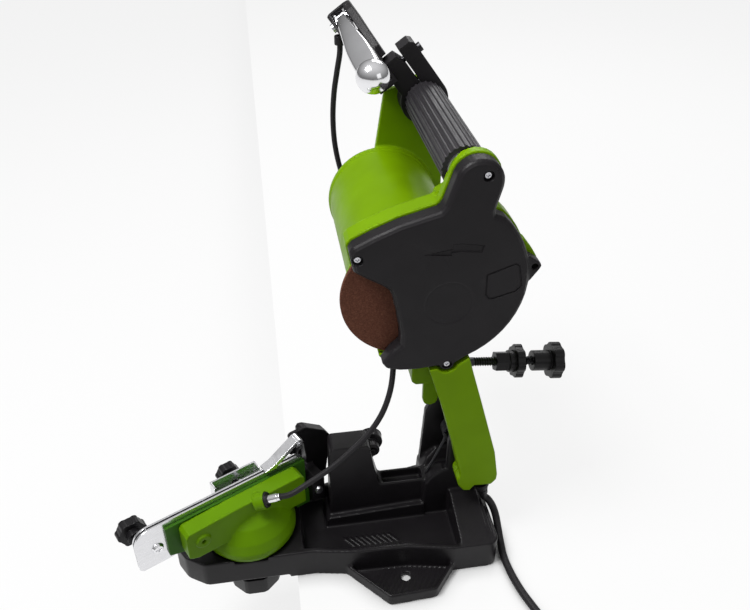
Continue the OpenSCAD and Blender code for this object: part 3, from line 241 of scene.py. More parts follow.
grip_rubber = moulded("ribbed_rubber", (0.022, 0.020, 0.023), 0.42, 2400.0, 0.14,
                      specular=0.26)
switch_red = moulded("switch_red", (0.45, 0.02, 0.015), 0.3, 1200.0, 0.06)
print("plastics", len(bpy.data.materials))

# %% [markdown]
# ## Metals
# The rails and the lever are bright plated steel, the screws duller zinc, and the depth
# screw blackened. Plated sheet shows fine rolling lines along its length, so its noise
# is stretched along one axis, and its roughness follows the same lines.

# %% Metals
def plated(name, color, rough, lines=(1.0, 1.0, 1.0), scale=500.0, strength=0.12,
           wander=0.06):
    """A bare or plated metal whose noise is stretched along its rolling lines."""
    finish, tree, shader = new_finish(name, color, rough, metal=1.0)
    where = place_in(tree, lines)
    streak = noise(tree, where, scale, 4.0)
    tree.links.new(ramp(tree, streak, [(NOISE_LOW, tint(color, 1 - 2 * wander)),
                                       (NOISE_HIGH, tint(color, 1 + wander))]),
                   shader.inputs["Base Color"])
    tree.links.new(spread(tree, streak, rough - wander, rough + wander),
                   shader.inputs["Roughness"])
    bump(tree, shader, streak, strength, 0.00005)
    return finish


chrome = plated("polished_chrome", (0.84, 0.84, 0.86), 0.15, scale=60.0, strength=0.02,
                wander=0.02)
rail_steel = plated("bright_rail_steel", (0.80, 0.80, 0.82), 0.26, (0.3, 0.3, 1.0), 300.0,
                    strength=0.01, wander=0.03)
zinc = plated("zinc_plate", (0.62, 0.62, 0.65), 0.32, scale=700.0)
black_steel = plated("blackened_steel", (0.045, 0.045, 0.048), 0.38, scale=600.0)
copper_stack = plated("laminations", (0.45, 0.30, 0.20), 0.45, scale=300.0)
print("metals", len(bpy.data.materials))

# %% [markdown]
# ## The grinding wheel
# A vitrified wheel is grit in a fired bond: brown, quite matt, and speckled at a scale
# of a third of a millimetre. Voronoi cells give the grains and a finer noise the pores.

# %% Grinding wheel grit
grit, grit_tree, grit_shader = new_finish("brown_grit", (0.105, 0.037, 0.020), 0.88,
                                          specular=0.25)
grit_where = place_in(grit_tree)
grains = grit_tree.nodes.new("ShaderNodeTexVoronoi")
grains.inputs["Scale"].default_value = 2600.0
grit_tree.links.new(grit_where, grains.inputs["Vector"])
grit_mix = noise(grit_tree, grit_where, 900.0, 5.0, 0.7)
grit_tree.links.new(ramp(grit_tree, grit_mix, [(0.34, (0.075, 0.024, 0.013)),
                                               (0.52, (0.108, 0.038, 0.021)),
                                               (0.68, (0.165, 0.064, 0.038))]),
                    grit_shader.inputs["Base Color"])
bump(grit_tree, grit_shader, grains.outputs["Distance"], 0.6, 0.0003,
     bump(grit_tree, grit_shader, grit_mix, 0.5, 0.0003))
print("grit ready")

# %% [markdown]
# ## Dressing a solid
# The solids have razor edges, and nothing moulded or cast does. Each visible node is
# copied, its flat faces are merged, and every sharp edge gets a small round. Weighted
# normals then keep the big faces flat and let the light roll only over the edge. The
# copy rides on the same body as the node it stands for.

# %% Dressing helper
def finish_mesh(mesh, angle=34.0):
    """Smooth shading that breaks only at edges sharper than the angle."""
    work = bmesh.new()
    work.from_mesh(mesh)
    for face in work.faces:
        face.smooth = True
    for edge in work.edges:
        edge.smooth = (len(edge.link_faces) == 2
                       and edge.calc_face_angle(0.0) < math.radians(angle))
    work.to_mesh(mesh)
    work.free()


def add_piece(name, mesh, body, finish, stands_for=()):
    """Links a mesh as a piece that rides on a body."""
    piece = placed(name, mesh)
    mesh.materials.clear()
    mesh.materials.append(finish)
    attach(piece, body)
    if stands_for:
        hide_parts(*stands_for)
    return piece


def dress(node, finish, edge=0.8, steps=2, angle=30.0):
    """A copy of a node with its edges rounded by edge millimetres."""
    source = nodes[node]
    work = bmesh.new()
    work.from_mesh(source.data)
    bmesh.ops.remove_doubles(work, verts=work.verts, dist=0.003 * MM)
    bmesh.ops.dissolve_limit(work, angle_limit=math.radians(0.8), verts=work.verts,
                             edges=work.edges)
    sharp = [e for e in work.edges if len(e.link_faces) == 2
             and e.calc_face_angle(0.0) > math.radians(angle)]
    if edge > 0.0:
        bmesh.ops.bevel(work, geom=sharp, offset=edge * MM, offset_type="OFFSET",
                        segments=steps, profile=0.5, affect="EDGES",
                        clamp_overlap=False, miter_outer="ARC")
    bmesh.ops.triangulate(work, faces=[f for f in work.faces if len(f.verts) > 4])
    mesh = bpy.data.meshes.new(node + "_dressed")
    work.to_mesh(mesh)
    work.free()
    finish_mesh(mesh)
    piece = add_piece("skin_" + node, mesh, source["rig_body"], finish, [node])
    flat = piece.modifiers.new("flat faces", "WEIGHTED_NORMAL")
    flat.keep_sharp = True
    flat.weight = 90
    return piece


print("dressing helper ready")

# %% [markdown]
# ## Softening a casting
# A bevel rounds edges but leaves inside corners sharp, and a casting or a moulding has
# fillets in both. So the large pieces take another way: the solid is remeshed on a
# fine grid, relaxed until its edges and corners melt by a millimetre or two, and then
# thinned. Boxes mark where crisp detail stays, such as hatching, grooves and wells.

# %% Softening helper
def reworked(mesh, changes, relaxed=None):
    """The mesh after a row of modifiers, each one a kind and its settings."""
    holder = placed("work", mesh)
    if relaxed is not None:
        group = holder.vertex_groups.new(name="relaxed")
        group.add(relaxed.tolist(), 1.0, "REPLACE")
    for kind, settings in changes:
        step = holder.modifiers.new(kind, kind)
        for key, value in settings.items():
            setattr(step, key, value)
    bpy.context.view_layer.update()
    graph = bpy.context.evaluated_depsgraph_get()
    result = bpy.data.meshes.new_from_object(holder.evaluated_get(graph))
    bpy.data.objects.remove(holder)
    return result


def soften(node, finish, grid, rounds, crisp=(), faces=60000, extra=None):
    """A softened copy of a node; grid and the crisp boxes are in millimetres."""
    start, work = nodes[node].data.copy(), bmesh.new()
    for part in (start, extra) if extra else (start,):
        work.from_mesh(part)
    work.to_mesh(start)
    work.free()
    fine = reworked(start, [("REMESH", {"mode": "VOXEL", "voxel_size": grid * MM})])
    where = np.empty(len(fine.vertices) * 3)
    fine.vertices.foreach_get("co", where)
    where = where.reshape(-1, 3) / MM
    loose = np.ones(len(where), bool)
    for low, high in crisp:
        loose &= ~np.all((where > np.array(low)) & (where < np.array(high)), axis=1)
    share = min(1.0, faces / max(1, 2 * len(fine.polygons)))
    mesh = reworked(fine, [("SMOOTH", {"factor": 0.5, "iterations": rounds,
                                       "vertex_group": "relaxed"}),
                           ("TRIANGULATE", {}),
                           ("DECIMATE", {"ratio": share})], np.nonzero(loose)[0])
    mesh.name = node + "_softened"
    finish_mesh(mesh, 40.0)
    return add_piece("skin_" + node, mesh, nodes[node]["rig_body"], finish,
                     [node])


print("softening helper ready")

# %% [markdown]
# ## Shapes from cross-sections
# A cable, a pressed lever or a thread is the same section carried along a path, so it
# is made as a skin over a row of rings, with a cap at either end. The shapes are drawn
# in the maker's millimetres and turned into metres in one place.

# %% Section helpers
def round_of(sides):
    """Cosine and sine at even steps round a circle."""
    return [(math.cos(2 * math.pi * k / sides), math.sin(2 * math.pi * k / sides))
            for k in range(sides)]


def join_rings(work, a, b):
    """A band of faces between two rings of vertices."""
    count = len(a)
    for k in range(count):
        work.faces.new((a[k], a[(k + 1) % count], b[(k + 1) % count], b[k]))


def loft(work, rows):
    """Joins rows of points into a closed skin."""
    rings = [[work.verts.new(point) for point in row] for row in rows]
    for a, b in zip(rings, rings[1:]):
        join_rings(work, a, b)
    work.faces.new(rings[0][::-1])
    work.faces.new(rings[-1])


def shaped(work, name, place=Matrix()):
    """A mesh in metres, put in its place, from a shape drawn in millimetres."""
    bmesh.ops.transform(work, matrix=Matrix.Scale(MM, 4) @ place, verts=work.verts)
    bmesh.ops.recalc_face_normals(work, faces=work.faces)
    mesh = bpy.data.meshes.new(name)
    work.to_mesh(mesh)
    work.free()
    return mesh


print("section helpers ready")

# %% [markdown]
# ## Power cord
# The lead leaves the arm's tail through a strain relief, drops past the rear of the
# base and lies on the bench. What the picture doesn't show is wound into a flat round
# coil in two layers. It is one curve from end to end, so its length is a real length:
# the route's points are joined by a smooth spline, and the coil follows a rule.

# %% Power cord
HINGE_X, HINGE_Z = 58.0, 104.5
ARM_TAIL_X, ARM_TAIL_Z = 20.0, -44.0        # from the hinge
RELIEF_LENGTH, RELIEF_LEAN = 14.0, math.radians(14)
CORD_D = 7.0
COIL_AT = (163.0, -226.0)
COIL_OUT, COIL_PITCH = 50.5, 7.6
COIL_TURNS, LAYER_TURNS, TURN_STEPS = 6.5, 3.25, 40
CLIMB_FROM, CLIMB_TURNS = 3.0, 0.5
PLUG_REACH, PLUG_HEIGHT, PLUG_STEPS = 25.0, 7.5, 10
ROUTE_STEPS = 5
relief_end = Vector((HINGE_X + ARM_TAIL_X + RELIEF_LENGTH * math.sin(RELIEF_LEAN), -8.5,
                     HINGE_Z + ARM_TAIL_Z - RELIEF_LENGTH * math.cos(RELIEF_LEAN)))
cord_route = [relief_end, relief_end + Vector((1.2, 0, -5)), (86.5, -9.5, 38),
              (91, -11.5, 30), (93.6, -16, 21.5), (94.2, -24, 13.5), (93.8, -35, 7.6),
              (93.2, -47, 4.2), (93.6, -59, 3.5), (95.4, -74, 3.5), (98.6, -89, 3.5),
              (103, -103, 3.5), (107.6, -117, 3.5), (111, -133, 3.5), (112.4, -150, 3.5),
              (112.5, -168, 3.5), (112.5, -188, 3.5), (112.5, -208, 3.5),
              (112.5, -225, 3.5)]


def smooth_route(points, steps):
    """A Catmull-Rom curve through points of any dimension, as a list of vectors."""
    p = [Vector(q) for q in points]
    out = []
    for i in range(len(p) - 1):
        a, b = p[max(i - 1, 0)], p[i]
        c, d = p[i + 1], p[min(i + 2, len(p) - 1)]
        for j in range(steps):
            t = j / steps
            out.append(0.5 * (2 * b + (c - a) * t + (2 * a - 5 * b + 4 * c - d) * t * t
                              + (3 * b - a - 3 * c + d) * t ** 3))
    out.append(p[-1])
    return out


def ease(share):
    """Goes from 0 to 1 with a level start and a level end."""
    return (1 - math.cos(math.pi * share)) / 2


def coil_point(turn):
    """Where the lead is after so many turns: in, up a layer, and out again."""
    inward, outward = min(turn, LAYER_TURNS), max(turn - LAYER_TURNS, 0.0)
    climb = min(max(turn - CLIMB_FROM, 0.0), CLIMB_TURNS) / CLIMB_TURNS
    radius = COIL_OUT - COIL_PITCH * (inward - outward)
    angle = math.pi + turn * 2 * math.pi
    return Vector((COIL_AT[0] + radius * math.cos(angle),
                   COIL_AT[1] + radius * math.sin(angle),
                   CORD_D / 2 + COIL_PITCH * ease(climb)))


coil = [coil_point(i / TURN_STEPS) for i in range(int(COIL_TURNS * TURN_STEPS) + 1)]
tail = [coil[-1] + Vector((0, PLUG_REACH * k / PLUG_STEPS,
                           (PLUG_HEIGHT - coil[-1].z) * ease(k / PLUG_STEPS)))
        for k in range(1, PLUG_STEPS + 1)]
cord_line = [v * MM for v in smooth_route(cord_route, ROUTE_STEPS) + coil + tail]


def tube_curve(name, line, radius, finish, sides=4):
    """A round tube along a line of points, as a curve of one open spline."""
    curve = bpy.data.curves.new(name, "CURVE")
    curve.dimensions = "3D"
    curve.bevel_depth = radius
    curve.bevel_resolution = sides
    curve.use_fill_caps = True
    spline = curve.splines.new("POLY")
    spline.points.add(len(line) - 1)
    for point, at in zip(spline.points, line):
        point.co = (*at, 1.0)
    spline.use_smooth = True
    curve.materials.append(finish)
    return placed(name, curve)


def length_of(line):
    """Length of a line of points."""
    return sum((b - a).length for a, b in zip(line, line[1:]))


power_lead = tube_curve("power_lead", cord_line, CORD_D / 2 * MM, black_rubber)
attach(power_lead, "base")
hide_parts("power_cord", "cord_coil")
print("cord", round(length_of(cord_line), 3), "m")

# %% [markdown]
# ## Plug
# The plug lies beside the coil. Its body and pins are already right as solids, so they
# are only dressed. They go with the cord as its far end.

# %% Plug
plug = dress("plug_body", black_rubber, 0.9, 3)
pins = dress("plug_pins", zinc, 0.3)
print("plug on the cord")

# %% [markdown]
# ## Brake cable
# A Bowden cable runs from the lever down behind the motor and into the vise. The head
# swings and the vise swivels, but the cable is made as two lengths that meet at one
# point of its route, and neither rides on a body.

# %% Brake cable
CABLE_D = 5.0
HEAD_REACH, HEAD_LEAN = 172.0, math.radians(16.9)
HUB = (HINGE_X - HEAD_REACH * math.sin(HEAD_LEAN), HINGE_Z + HEAD_REACH * math.cos(HEAD_LEAN))
HANDLE = (HUB[0] + 38, HUB[1] + 101)
TILT = math.radians(36)             # of the lever's plane
CABLE_BACK, CABLE_UP = 29.0, 71.5   # where the cable leaves the bracket, in that plane
cable_top = Vector((HANDLE[0] - CABLE_BACK * math.cos(TILT) - CABLE_UP * math.sin(TILT), 189.5,
                    HANDLE[1] - CABLE_BACK * math.sin(TILT) + CABLE_UP * math.cos(TILT)))
cable_route = [cable_top, cable_top + Vector((-0.2, 0, -12)), (-22.5, 191, 382),
               (-25.5, 192.5, 362), (-27, 193.5, 338), (-25.8, 193, 312), (-21, 189, 286),
               (-13, 181, 258), (-5, 170, 234), (0, 156, 219), (4, 138, 211),
               (6, 118, 207), (6, 94, 204), (5, 66, 201), (3, 40, 196), (0, 20, 186),
               (-5, 6, 170), (-14, -3, 152), (-28, -10, 136), (-46, -15, 121),
               (-64, -19, 109), (-81, -22, 99.5), (-95.3, -24.9, 93), (-104, -23, 89.5)]
MEET = 21 * ROUTE_STEPS             # the two lengths meet at the route's 22nd point
cable_line = [v * MM for v in smooth_route(cable_route, ROUTE_STEPS)]
upper_line, lower_line = cable_line[:MEET + 1], cable_line[MEET:]


def tube_mesh(name, line, radius, sides=14):
    """A closed mesh tube whose rings don't twist."""
    mesh, work = bpy.data.meshes.new(name), bmesh.new()
    up, rings = Vector((0.3, -1.0, 0.2)), []
    for i, at in enumerate(line):
        way = (line[min(i + 1, len(line) - 1)] - line[max(i - 1, 0)]).normalized()
        side = way.cross(up).normalized()
        up = side.cross(way)
        rings.append([work.verts.new(at + radius * (c * side + s * up))
                      for c, s in round_of(sides)])
    for a, b in zip(rings, rings[1:]):
        join_rings(work, a, b)
    work.faces.new(rings[0][::-1])
    work.faces.new(rings[-1])
    bmesh.ops.recalc_face_normals(work, faces=work.faces)
    work.to_mesh(mesh)
    work.free()
    finish_mesh(mesh, 50.0)
    return mesh


def bent_piece(name, mesh, finish):
    """A mesh placed with its transform baked in; it rides on no body."""
    piece = placed(name, mesh)
    mesh.materials.append(finish)
    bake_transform(piece)
    return piece


upper_tube = tube_mesh("brake_cable_upper", upper_line, CABLE_D / 2 * MM)
lower_tube = tube_mesh("brake_cable_lower", lower_line, CABLE_D / 2 * MM)
upper_cable = bent_piece("brake_cable_upper", upper_tube, black_rubber)
bent_piece("brake_cable_lower", lower_tube, black_rubber)
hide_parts("brake_cable")
print("brake cable", round(length_of(cable_line), 3), "m")

# %% [markdown]
# ## Marks on the side cover
# The black cover has a border round a blank panel, an arrow and a shallow round dish.
# They are moulded in, so they are cut out of the mesh with tools: a thin tube along an
# outline leaves a groove with a round floor, and a lens leaves the dish.

# %% Cover marks
COVER_FACE = -18.0
PANEL_GROOVE, ARROW_GROOVE = 1.7, 1.3
PANEL = [(54.2, 23.9), (56.5, 25.0), (75.6, 31.9), (78.2, 30.4), (81.7, 12.6), (77.4, 7.6),
         (60.6, 3.0), (57.6, 3.0), (54.4, 7.0)]
ARROW = [(6, 45.6), (27, 48.4), (27, 52.4), (33, 52.6), (50, 49.6), (48.5, 44.4),
         (33, 46.6), (26, 45.8), (26, 43.6)]


def groove_tool(outline, width):
    """A closed tube along an outline on the cover's face, as a mesh."""
    line = [Vector((HUB[0] + x, COVER_FACE, HUB[1] + z)) * MM for x, z in outline]
    tube = tube_curve("groove_tool", line, width / 2 * MM, None, 2)
    tube.data.splines[0].use_cyclic_u = True
    tube.data.use_fill_caps = False
    bpy.context.view_layer.update()
    mesh = bpy.data.meshes.new_from_object(tube)
    bpy.data.objects.remove(tube)
    return mesh


def dish_tool(x, z, radius, depth, rings=14, sides=96):
    """A shallow lens that scoops a round dish out of the cover's face."""
    work = bmesh.new()
    quarter = [math.pi / 2 * k / rings for k in range(1, rings + 1)]
    rows = [(radius * math.sin(a), depth * math.cos(a) ** 2) for a in quarter]
    rows.append((radius + 0.6, -0.6))
    loft(work, [[(HUB[0] + x + r * c, COVER_FACE + deep, HUB[1] + z + r * s)
                 for c, s in round_of(sides)] for r, deep in rows])
    return shaped(work, "dish_tool")


def engrave(piece, tools):
    """Cuts the tools out of a piece."""
    for tool in tools:
        cutter = placed("cutter", tool)
        mesh = reworked(piece.data.copy(), [("BOOLEAN", {"operation": "DIFFERENCE",
                                                         "solver": "MANIFOLD",
                                                         "object": cutter})])
        bpy.data.objects.remove(cutter)
        print("cut", len(piece.data.polygons), "to", len(mesh.polygons), "faces")
        mesh.materials.clear()
        mesh.materials.append(piece.data.materials[0])
        mesh.polygons.foreach_set("material_index", [0] * len(mesh.polygons))
        finish_mesh(mesh, 40.0)
        piece.data = mesh


print("marks", len(PANEL), "and", len(ARROW), "points")

# %% [markdown]
# ## Castings and mouldings
# The large pieces come next. Their size decides the radius on their edges: a casting
# of this length is drawn with rounds of one to two millimetres, a thin moulding with
# half of one. The hatched floor, the ears and the cover's screw wells stay crisp.

# %% Large pieces
def at_hub(low, high):
    """A box given from the wheel's axis."""
    return ([low[0] + HUB[0], low[1], low[2] + HUB[1]],
            [high[0] + HUB[0], high[1], high[2] + HUB[1]])


WELL = 5.5                                  # half width of a box round a screw
COVER_SCREWS = ((-42, 45), (49, 104), (28.4, -58))
EAR_HATCHES = ((-84, -42), (42, 68))
cover_detail = [at_hub((51, -19, -1), (85, -17, 36)), at_hub((4, -19, 42), (52, -17, 54)),
                at_hub((6, -19, -19), (47, -17.2, 22))]
cover_detail += [at_hub((x - WELL, -19, z - WELL), (x + WELL, -12, z + WELL))
                 for x, z in COVER_SCREWS]
base_detail = [([-56, -32, 15], [4, -8, 17.4])]
base_detail += [([-52, near, 4.4], [48, far, 6.4]) for near, far in EAR_HATCHES]
base = soften("base", black_casting, 0.9, 9, base_detail, 90000)
housing = soften("motor_housing", green_moulding, 0.9, 4, (), 90000)
cover = soften("wheel_cover", black_moulding, 0.5, 32, cover_detail, 110000)
engrave(cover, [groove_tool(PANEL, PANEL_GROOVE), groove_tool(ARROW, ARROW_GROOVE),
                dish_tool(26.6, 1.6, 20, 1.5)])
large = [base, housing, cover,
         soften("arm_shell_near", green_moulding, 0.7, 6),
         soften("arm_shell_far", green_moulding, 0.7, 4),
         dress("vise_body", dark_green, 0.6),
         soften("vise_cover", green_casting, 0.6, 10),
         soften("arch_bracket", black_casting, 0.6, 5, (), 20000),
         dress("end_cap", black_moulding, 0.4)]
print("large pieces", sum(len(piece.data.polygons) for piece in large), "faces")

# %% [markdown]
# ## Brake lever
# The lever is one strip of steel, pressed into a channel that widens towards the ball
# and bends down with it. It is drawn as a row of cross-sections: a crowned top, rolled
# shoulders and two skirts, with the same sheet thickness all round. Stations along the
# lever give the width, the height and the depth, and a smooth curve runs between them.

# %% Brake lever
PIVOT_Y, PIVOT_H = 188.0, 82.0
LEVER_AT = Vector((-17.0, PIVOT_Y, PIVOT_H))
EYE_FACES = (3.7, 5.8)              # of an eye, from the middle of the lever
PIVOT_EYE, CABLE_EYE = (0.0, 0.0, 6.5, 2.5), (7.4, 2.0, 4.2, 2.2)
BALL_AT, BALL_R = (0.0, -126.0, -9.0), 12.5
LEVER_STATIONS = [(3.0, 5.6, 5.0, 9.0), (20.0, 6.0, 6.0, 9.0), (38.0, 6.4, 6.0, 9.0),
                  (60.0, 8.0, 4.0, 8.5), (80.0, 9.5, 1.0, 8.0), (104.0, 9.6, -3.2, 8.0),
                  (118.0, 8.6, -6.0, 7.0)]
handle_frame = (Matrix.Translation(Vector((HANDLE[0], 0, HANDLE[1])))
                @ Matrix.Rotation(-TILT, 4, "Y"))


def section(half, top, depth, sheet=1.3, roll=2.6):
    """A closed cross-section of the channel, outside and then inside."""
    def shell(inset):
        """The outline, moved inwards."""
        w, t, r = half - inset, top - inset, roll - inset
        right = [(w, top - depth)]
        right += [(w - r + r * math.cos(a), t - r + r * math.sin(a))
                  for a in (math.radians(k * 22.5) for k in range(5))]
        right += [(w * 0.35, t + 0.45)]
        return right + [(-x, z) for x, z in right[::-1]]
    return shell(0.0) + shell(sheet)[::-1]


def eye(work, y, z, outer, inner, x0, x1, sides=28, edge=0.4):
    """A ring of sheet whose axis lies along X, with its outer edges broken."""
    profile = [(x0, inner), (x0, outer - edge), (x0 + edge, outer),
               (x1 - edge, outer), (x1, outer - edge), (x1, inner)]
    rings = [[work.verts.new((x, y + r * c, z + r * s)) for c, s in round_of(sides)]
             for x, r in profile]
    for a, b in zip(rings, rings[1:] + rings[:1]):
        join_rings(work, a, b)


work = bmesh.new()
loft(work, [[(x, -far, z) for x, z in section(half, top, depth)]
            for far, half, top, depth in smooth_route(LEVER_STATIONS, 4)])
for side in (-1, 1):
    low_x, high_x = sorted(side * x for x in EYE_FACES)
    for place in (PIVOT_EYE, CABLE_EYE):
        eye(work, *place, low_x, high_x)
bmesh.ops.create_uvsphere(work, u_segments=48, v_segments=32, radius=BALL_R,
                          matrix=Matrix.Translation(BALL_AT))
lever_mesh = shaped(work, "pressed_lever", handle_frame @ Matrix.Translation(LEVER_AT))
finish_mesh(lever_mesh, 38.0)
add_piece("pressed_lever", lever_mesh, "lever", chrome, ["brake_lever"])
print("lever", len(lever_mesh.polygons), "faces")

# %% [markdown]
# ## Lever bracket
# The solid has the two cheeks and the floor between them. On the machine the bracket is
# a thick black casting: its right wall stands beside the lever as a broad band, and its
# far end closes round the lever's eyes. Both are added here and fused with the solid.

# %% Lever bracket
CLAMP_Y, CHEEK_X, SPAN = 140.6, -10.5, 13.0
WALL, THIN_WALL = 6.8, 4.0
LOW, HIGH = PIVOT_H - 9, PIVOT_H + 8        # of the end wall
CORNER_Y, END_FROM, END_TO = PIVOT_Y + 8.7, PIVOT_Y + 11.4, PIVOT_Y + 15.5
wall_side = [(CLAMP_Y + 20, 46), (CLAMP_Y + 6, 51), (CLAMP_Y + 8, 60),
             (PIVOT_Y - 9, PIVOT_H + 7.5), (PIVOT_Y, PIVOT_H + 9), (CORNER_Y, HIGH),
             (CORNER_Y, LOW), (PIVOT_Y - 8, PIVOT_H - 17)]
end_side = [(END_FROM, LOW), (END_FROM, HIGH), (END_TO, HIGH), (END_TO, LOW)]


def corner_post(x, turn, reach):
    """Plan of a quarter round that joins a cheek to the end wall."""
    quarter = [math.pi / 2 * k / 8 for k in range(9)]
    return [(x, CORNER_Y)] + [(x + turn * reach * math.cos(a), CORNER_Y + WALL * math.sin(a))
                              for a in quarter]


work = bmesh.new()
for side_points, x0, x1 in ((wall_side, CHEEK_X, CHEEK_X + WALL),
                            (end_side, CHEEK_X - SPAN, CHEEK_X)):
    loft(work, [[(x, y, z) for y, z in side_points] for x in (x0, x1)])
for plan in (corner_post(CHEEK_X, 1, WALL), corner_post(CHEEK_X - SPAN, -1, THIN_WALL)):
    loft(work, [[(x, y, z) for x, y in plan] for z in (LOW, HIGH)])
bracket = soften("lever_bracket", black_moulding, 0.45, 16, (), 40000,
                 shaped(work, "bracket_walls", handle_frame))
print("bracket", len(bracket.data.polygons), "faces")

# %% [markdown]
# ## Depth screw
# The depth screw is a rolled thread, so its groove is one helix. The surface is a grid
# of angles and heights, and the radius at each point follows the phase of the helix:
# flat crests, flat roots and straight flanks between them.

# %% Depth screw
ROD_DROP, ROD_LENGTH = math.radians(5.6), 133.0
ROD_X, ROD_Y = 13.0, 20.0
BLOCK_REACH, BLOCK_Z = 54.0, 181.0          # where the housing's block holds the screw
PLAIN_R, TIP_R, ROOT_R, THREAD_H = 3.95, 3.3, 3.1, 0.85
THREAD_FROM, THREAD_TO, PITCH, AROUND, PITCH_STEPS = 57.0, 132.0, 2.2, 24, 6
rod_frame = (Matrix.Translation(Vector((ROD_X, ROD_Y,
                                        BLOCK_Z + BLOCK_REACH * math.sin(ROD_DROP))))
             @ Matrix.Rotation(math.pi / 2 + ROD_DROP, 4, "Y"))


def thread_radius(height, turn):
    """Radius of the screw at a height and an angle given in turns."""
    if not THREAD_FROM < height < THREAD_TO:
        return PLAIN_R if height < THREAD_TO else TIP_R
    phase = (height / PITCH - turn) % 1.0
    flank = min(1.0, max(0.0, abs(phase - 0.5) * 3.2 - 0.3))
    return ROOT_R + THREAD_H * flank


rings_in_thread = int((THREAD_TO - THREAD_FROM) / PITCH * PITCH_STEPS)
heights = [0.0, 20.0, 40.0, THREAD_FROM]
heights += [THREAD_FROM + k * PITCH / PITCH_STEPS for k in range(1, rings_in_thread)]
heights += [THREAD_TO, ROD_LENGTH]
work = bmesh.new()
loft(work, [[(thread_radius(h, k / AROUND) * c, thread_radius(h, k / AROUND) * s, h)
             for k, (c, s) in enumerate(round_of(AROUND))] for h in heights])
screw_mesh = shaped(work, "rolled_thread", rod_frame)
finish_mesh(screw_mesh, 50.0)
add_piece("rolled_thread", screw_mesh, nodes["depth_screw"]["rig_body"], black_steel,
          ["depth_screw"])
print("thread", len(screw_mesh.polygons), "faces")

# %% [markdown]
# ## Torsion spring
# The spring that holds the head up winds round the hinge pin. One leg rests on the low
# wall and the other pushes a hook under the head. Its turns come from a formula with
# the wire's own pitch, so neighbouring turns nearly touch, as close-wound springs do.

# %% Torsion spring
SPRING_R, WIRE, SPRING_Y, TURN_GAP = 11.0, 2.4, 12.5, 0.75
WOUND_FROM, WOUND_TO, WOUND_STEP = 165, 1830, 15    # degrees round the hinge pin
LEG_FROM = 150


def spring_point(degrees):
    """A point of the wound wire, in millimetres."""
    a = math.radians(degrees)
    return Vector((HINGE_X + SPRING_R * math.cos(a),
                   SPRING_Y + (WIRE + TURN_GAP) * (degrees - LEG_FROM) / 360,
                   HINGE_Z + SPRING_R * math.sin(a)))


spring_end = spring_point(WOUND_TO)
spring_hook = Vector((42.5, spring_end.y, 138.5))
spring_line = smooth_route([(30, SPRING_Y, 60.8), (33, SPRING_Y, 64), (46, SPRING_Y, 97.5),
                            spring_point(WOUND_FROM)], 3)[:-1]
spring_line += [spring_point(a) for a in range(WOUND_FROM, WOUND_TO + 1, WOUND_STEP)]
spring_line += [spring_end + (spring_hook - spring_end) * f for f in (0.35, 0.7, 1.0)]
spring_mesh = tube_mesh("wound_spring", [v * MM for v in spring_line], WIRE / 2 * MM, 10)
add_piece("wound_spring", spring_mesh, nodes["torsion_spring"]["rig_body"], black_steel,
          ["torsion_spring"])
print("spring", len(spring_mesh.polygons), "faces")

# %% [markdown]
# ## Knobs, rails and fittings
# The rest is a list: which node, which finish, and how big a round its edges have.

# %% Smaller pieces
small_pieces = [
    ("stop_knob", black_knob, 0.5), ("rail_knob", black_knob, 0.6),
    ("mid_knob", black_knob, 0.5), ("pawl_knob", black_knob, 0.5),
    ("angle_knob", black_knob, 0.8), ("depth_knob", black_knob, 0.6),
    ("lock_knob", black_knob, 0.5), ("strain_relief", black_rubber, 0.3),
    ("lever_clamp", black_moulding, 0.6),
    ("clamp_screw", black_steel, 0.2), ("lever_pivot", zinc, 0.3),
    ("cable_nipple", zinc, 0.2), ("cable_ferrule", chrome, 0.3),
    ("cable_grommet", black_rubber, 0.4), ("hinge_pin", zinc, 0.3),
    ("end_cap_screws", zinc, 0.15), ("cover_screws", zinc, 0.15),
    ("arm_screws", zinc, 0.15), ("handle_tube", zinc, 0.2),
    ("rail_near", rail_steel, 0.25), ("rail_far", rail_steel, 0.25),
    ("pull_rod", zinc, 0.2), ("rail_screw", chrome, 0.25),
    ("u_bracket", rail_steel, 0.3), ("bracket_screws", zinc, 0.2),
    ("chain_pawl", rail_steel, 0.3), ("pawl_pin", zinc, 0.2),
    ("swivel_bolt", zinc, 0.3), ("switch_body", black_moulding, 0.3),
    ("switch_rocker", switch_red, 0.3), ("motor_rotor", zinc, 0.0),
    ("motor_bearings", zinc, 0.0), ("motor_stator", copper_stack, 0.0),
    ("wheel_flanges", zinc, 0.3), ("arbor_nut", zinc, 0.3),
    ("grinding_wheel", grit, 0.0), ("jaw_spring", zinc, 0.0),
    ("grip", grip_rubber, 0.0),
]
for node, finish, edge in small_pieces:
    dress(node, finish, edge)
print("small pieces", len(small_pieces))

# %% [markdown]
# ## White ground
# The picture has a plain white ground that keeps a soft shadow. Seen by the camera or
# in a mirror, the ground is mostly white by itself, so no lamp has to burn it out. That
# share fades where the ground is close under something, so contact still darkens it.

# %% Ground finish
WHITE_SHARE, CONTACT, WHITE = 0.78, 0.02, 1.05
ground, ground_tree, ground_shader = new_finish("pale_ground", (0.55, 0.55, 0.55), 0.95,
                                                specular=0.05)


def combined(tree, kind, first, second):
    """One number from two, by a math node."""
    node = tree.nodes.new("ShaderNodeMath")
    node.operation = kind
    tree.links.new(first, node.inputs[0])
    tree.links.new(second, node.inputs[1])
    return node.outputs[0]


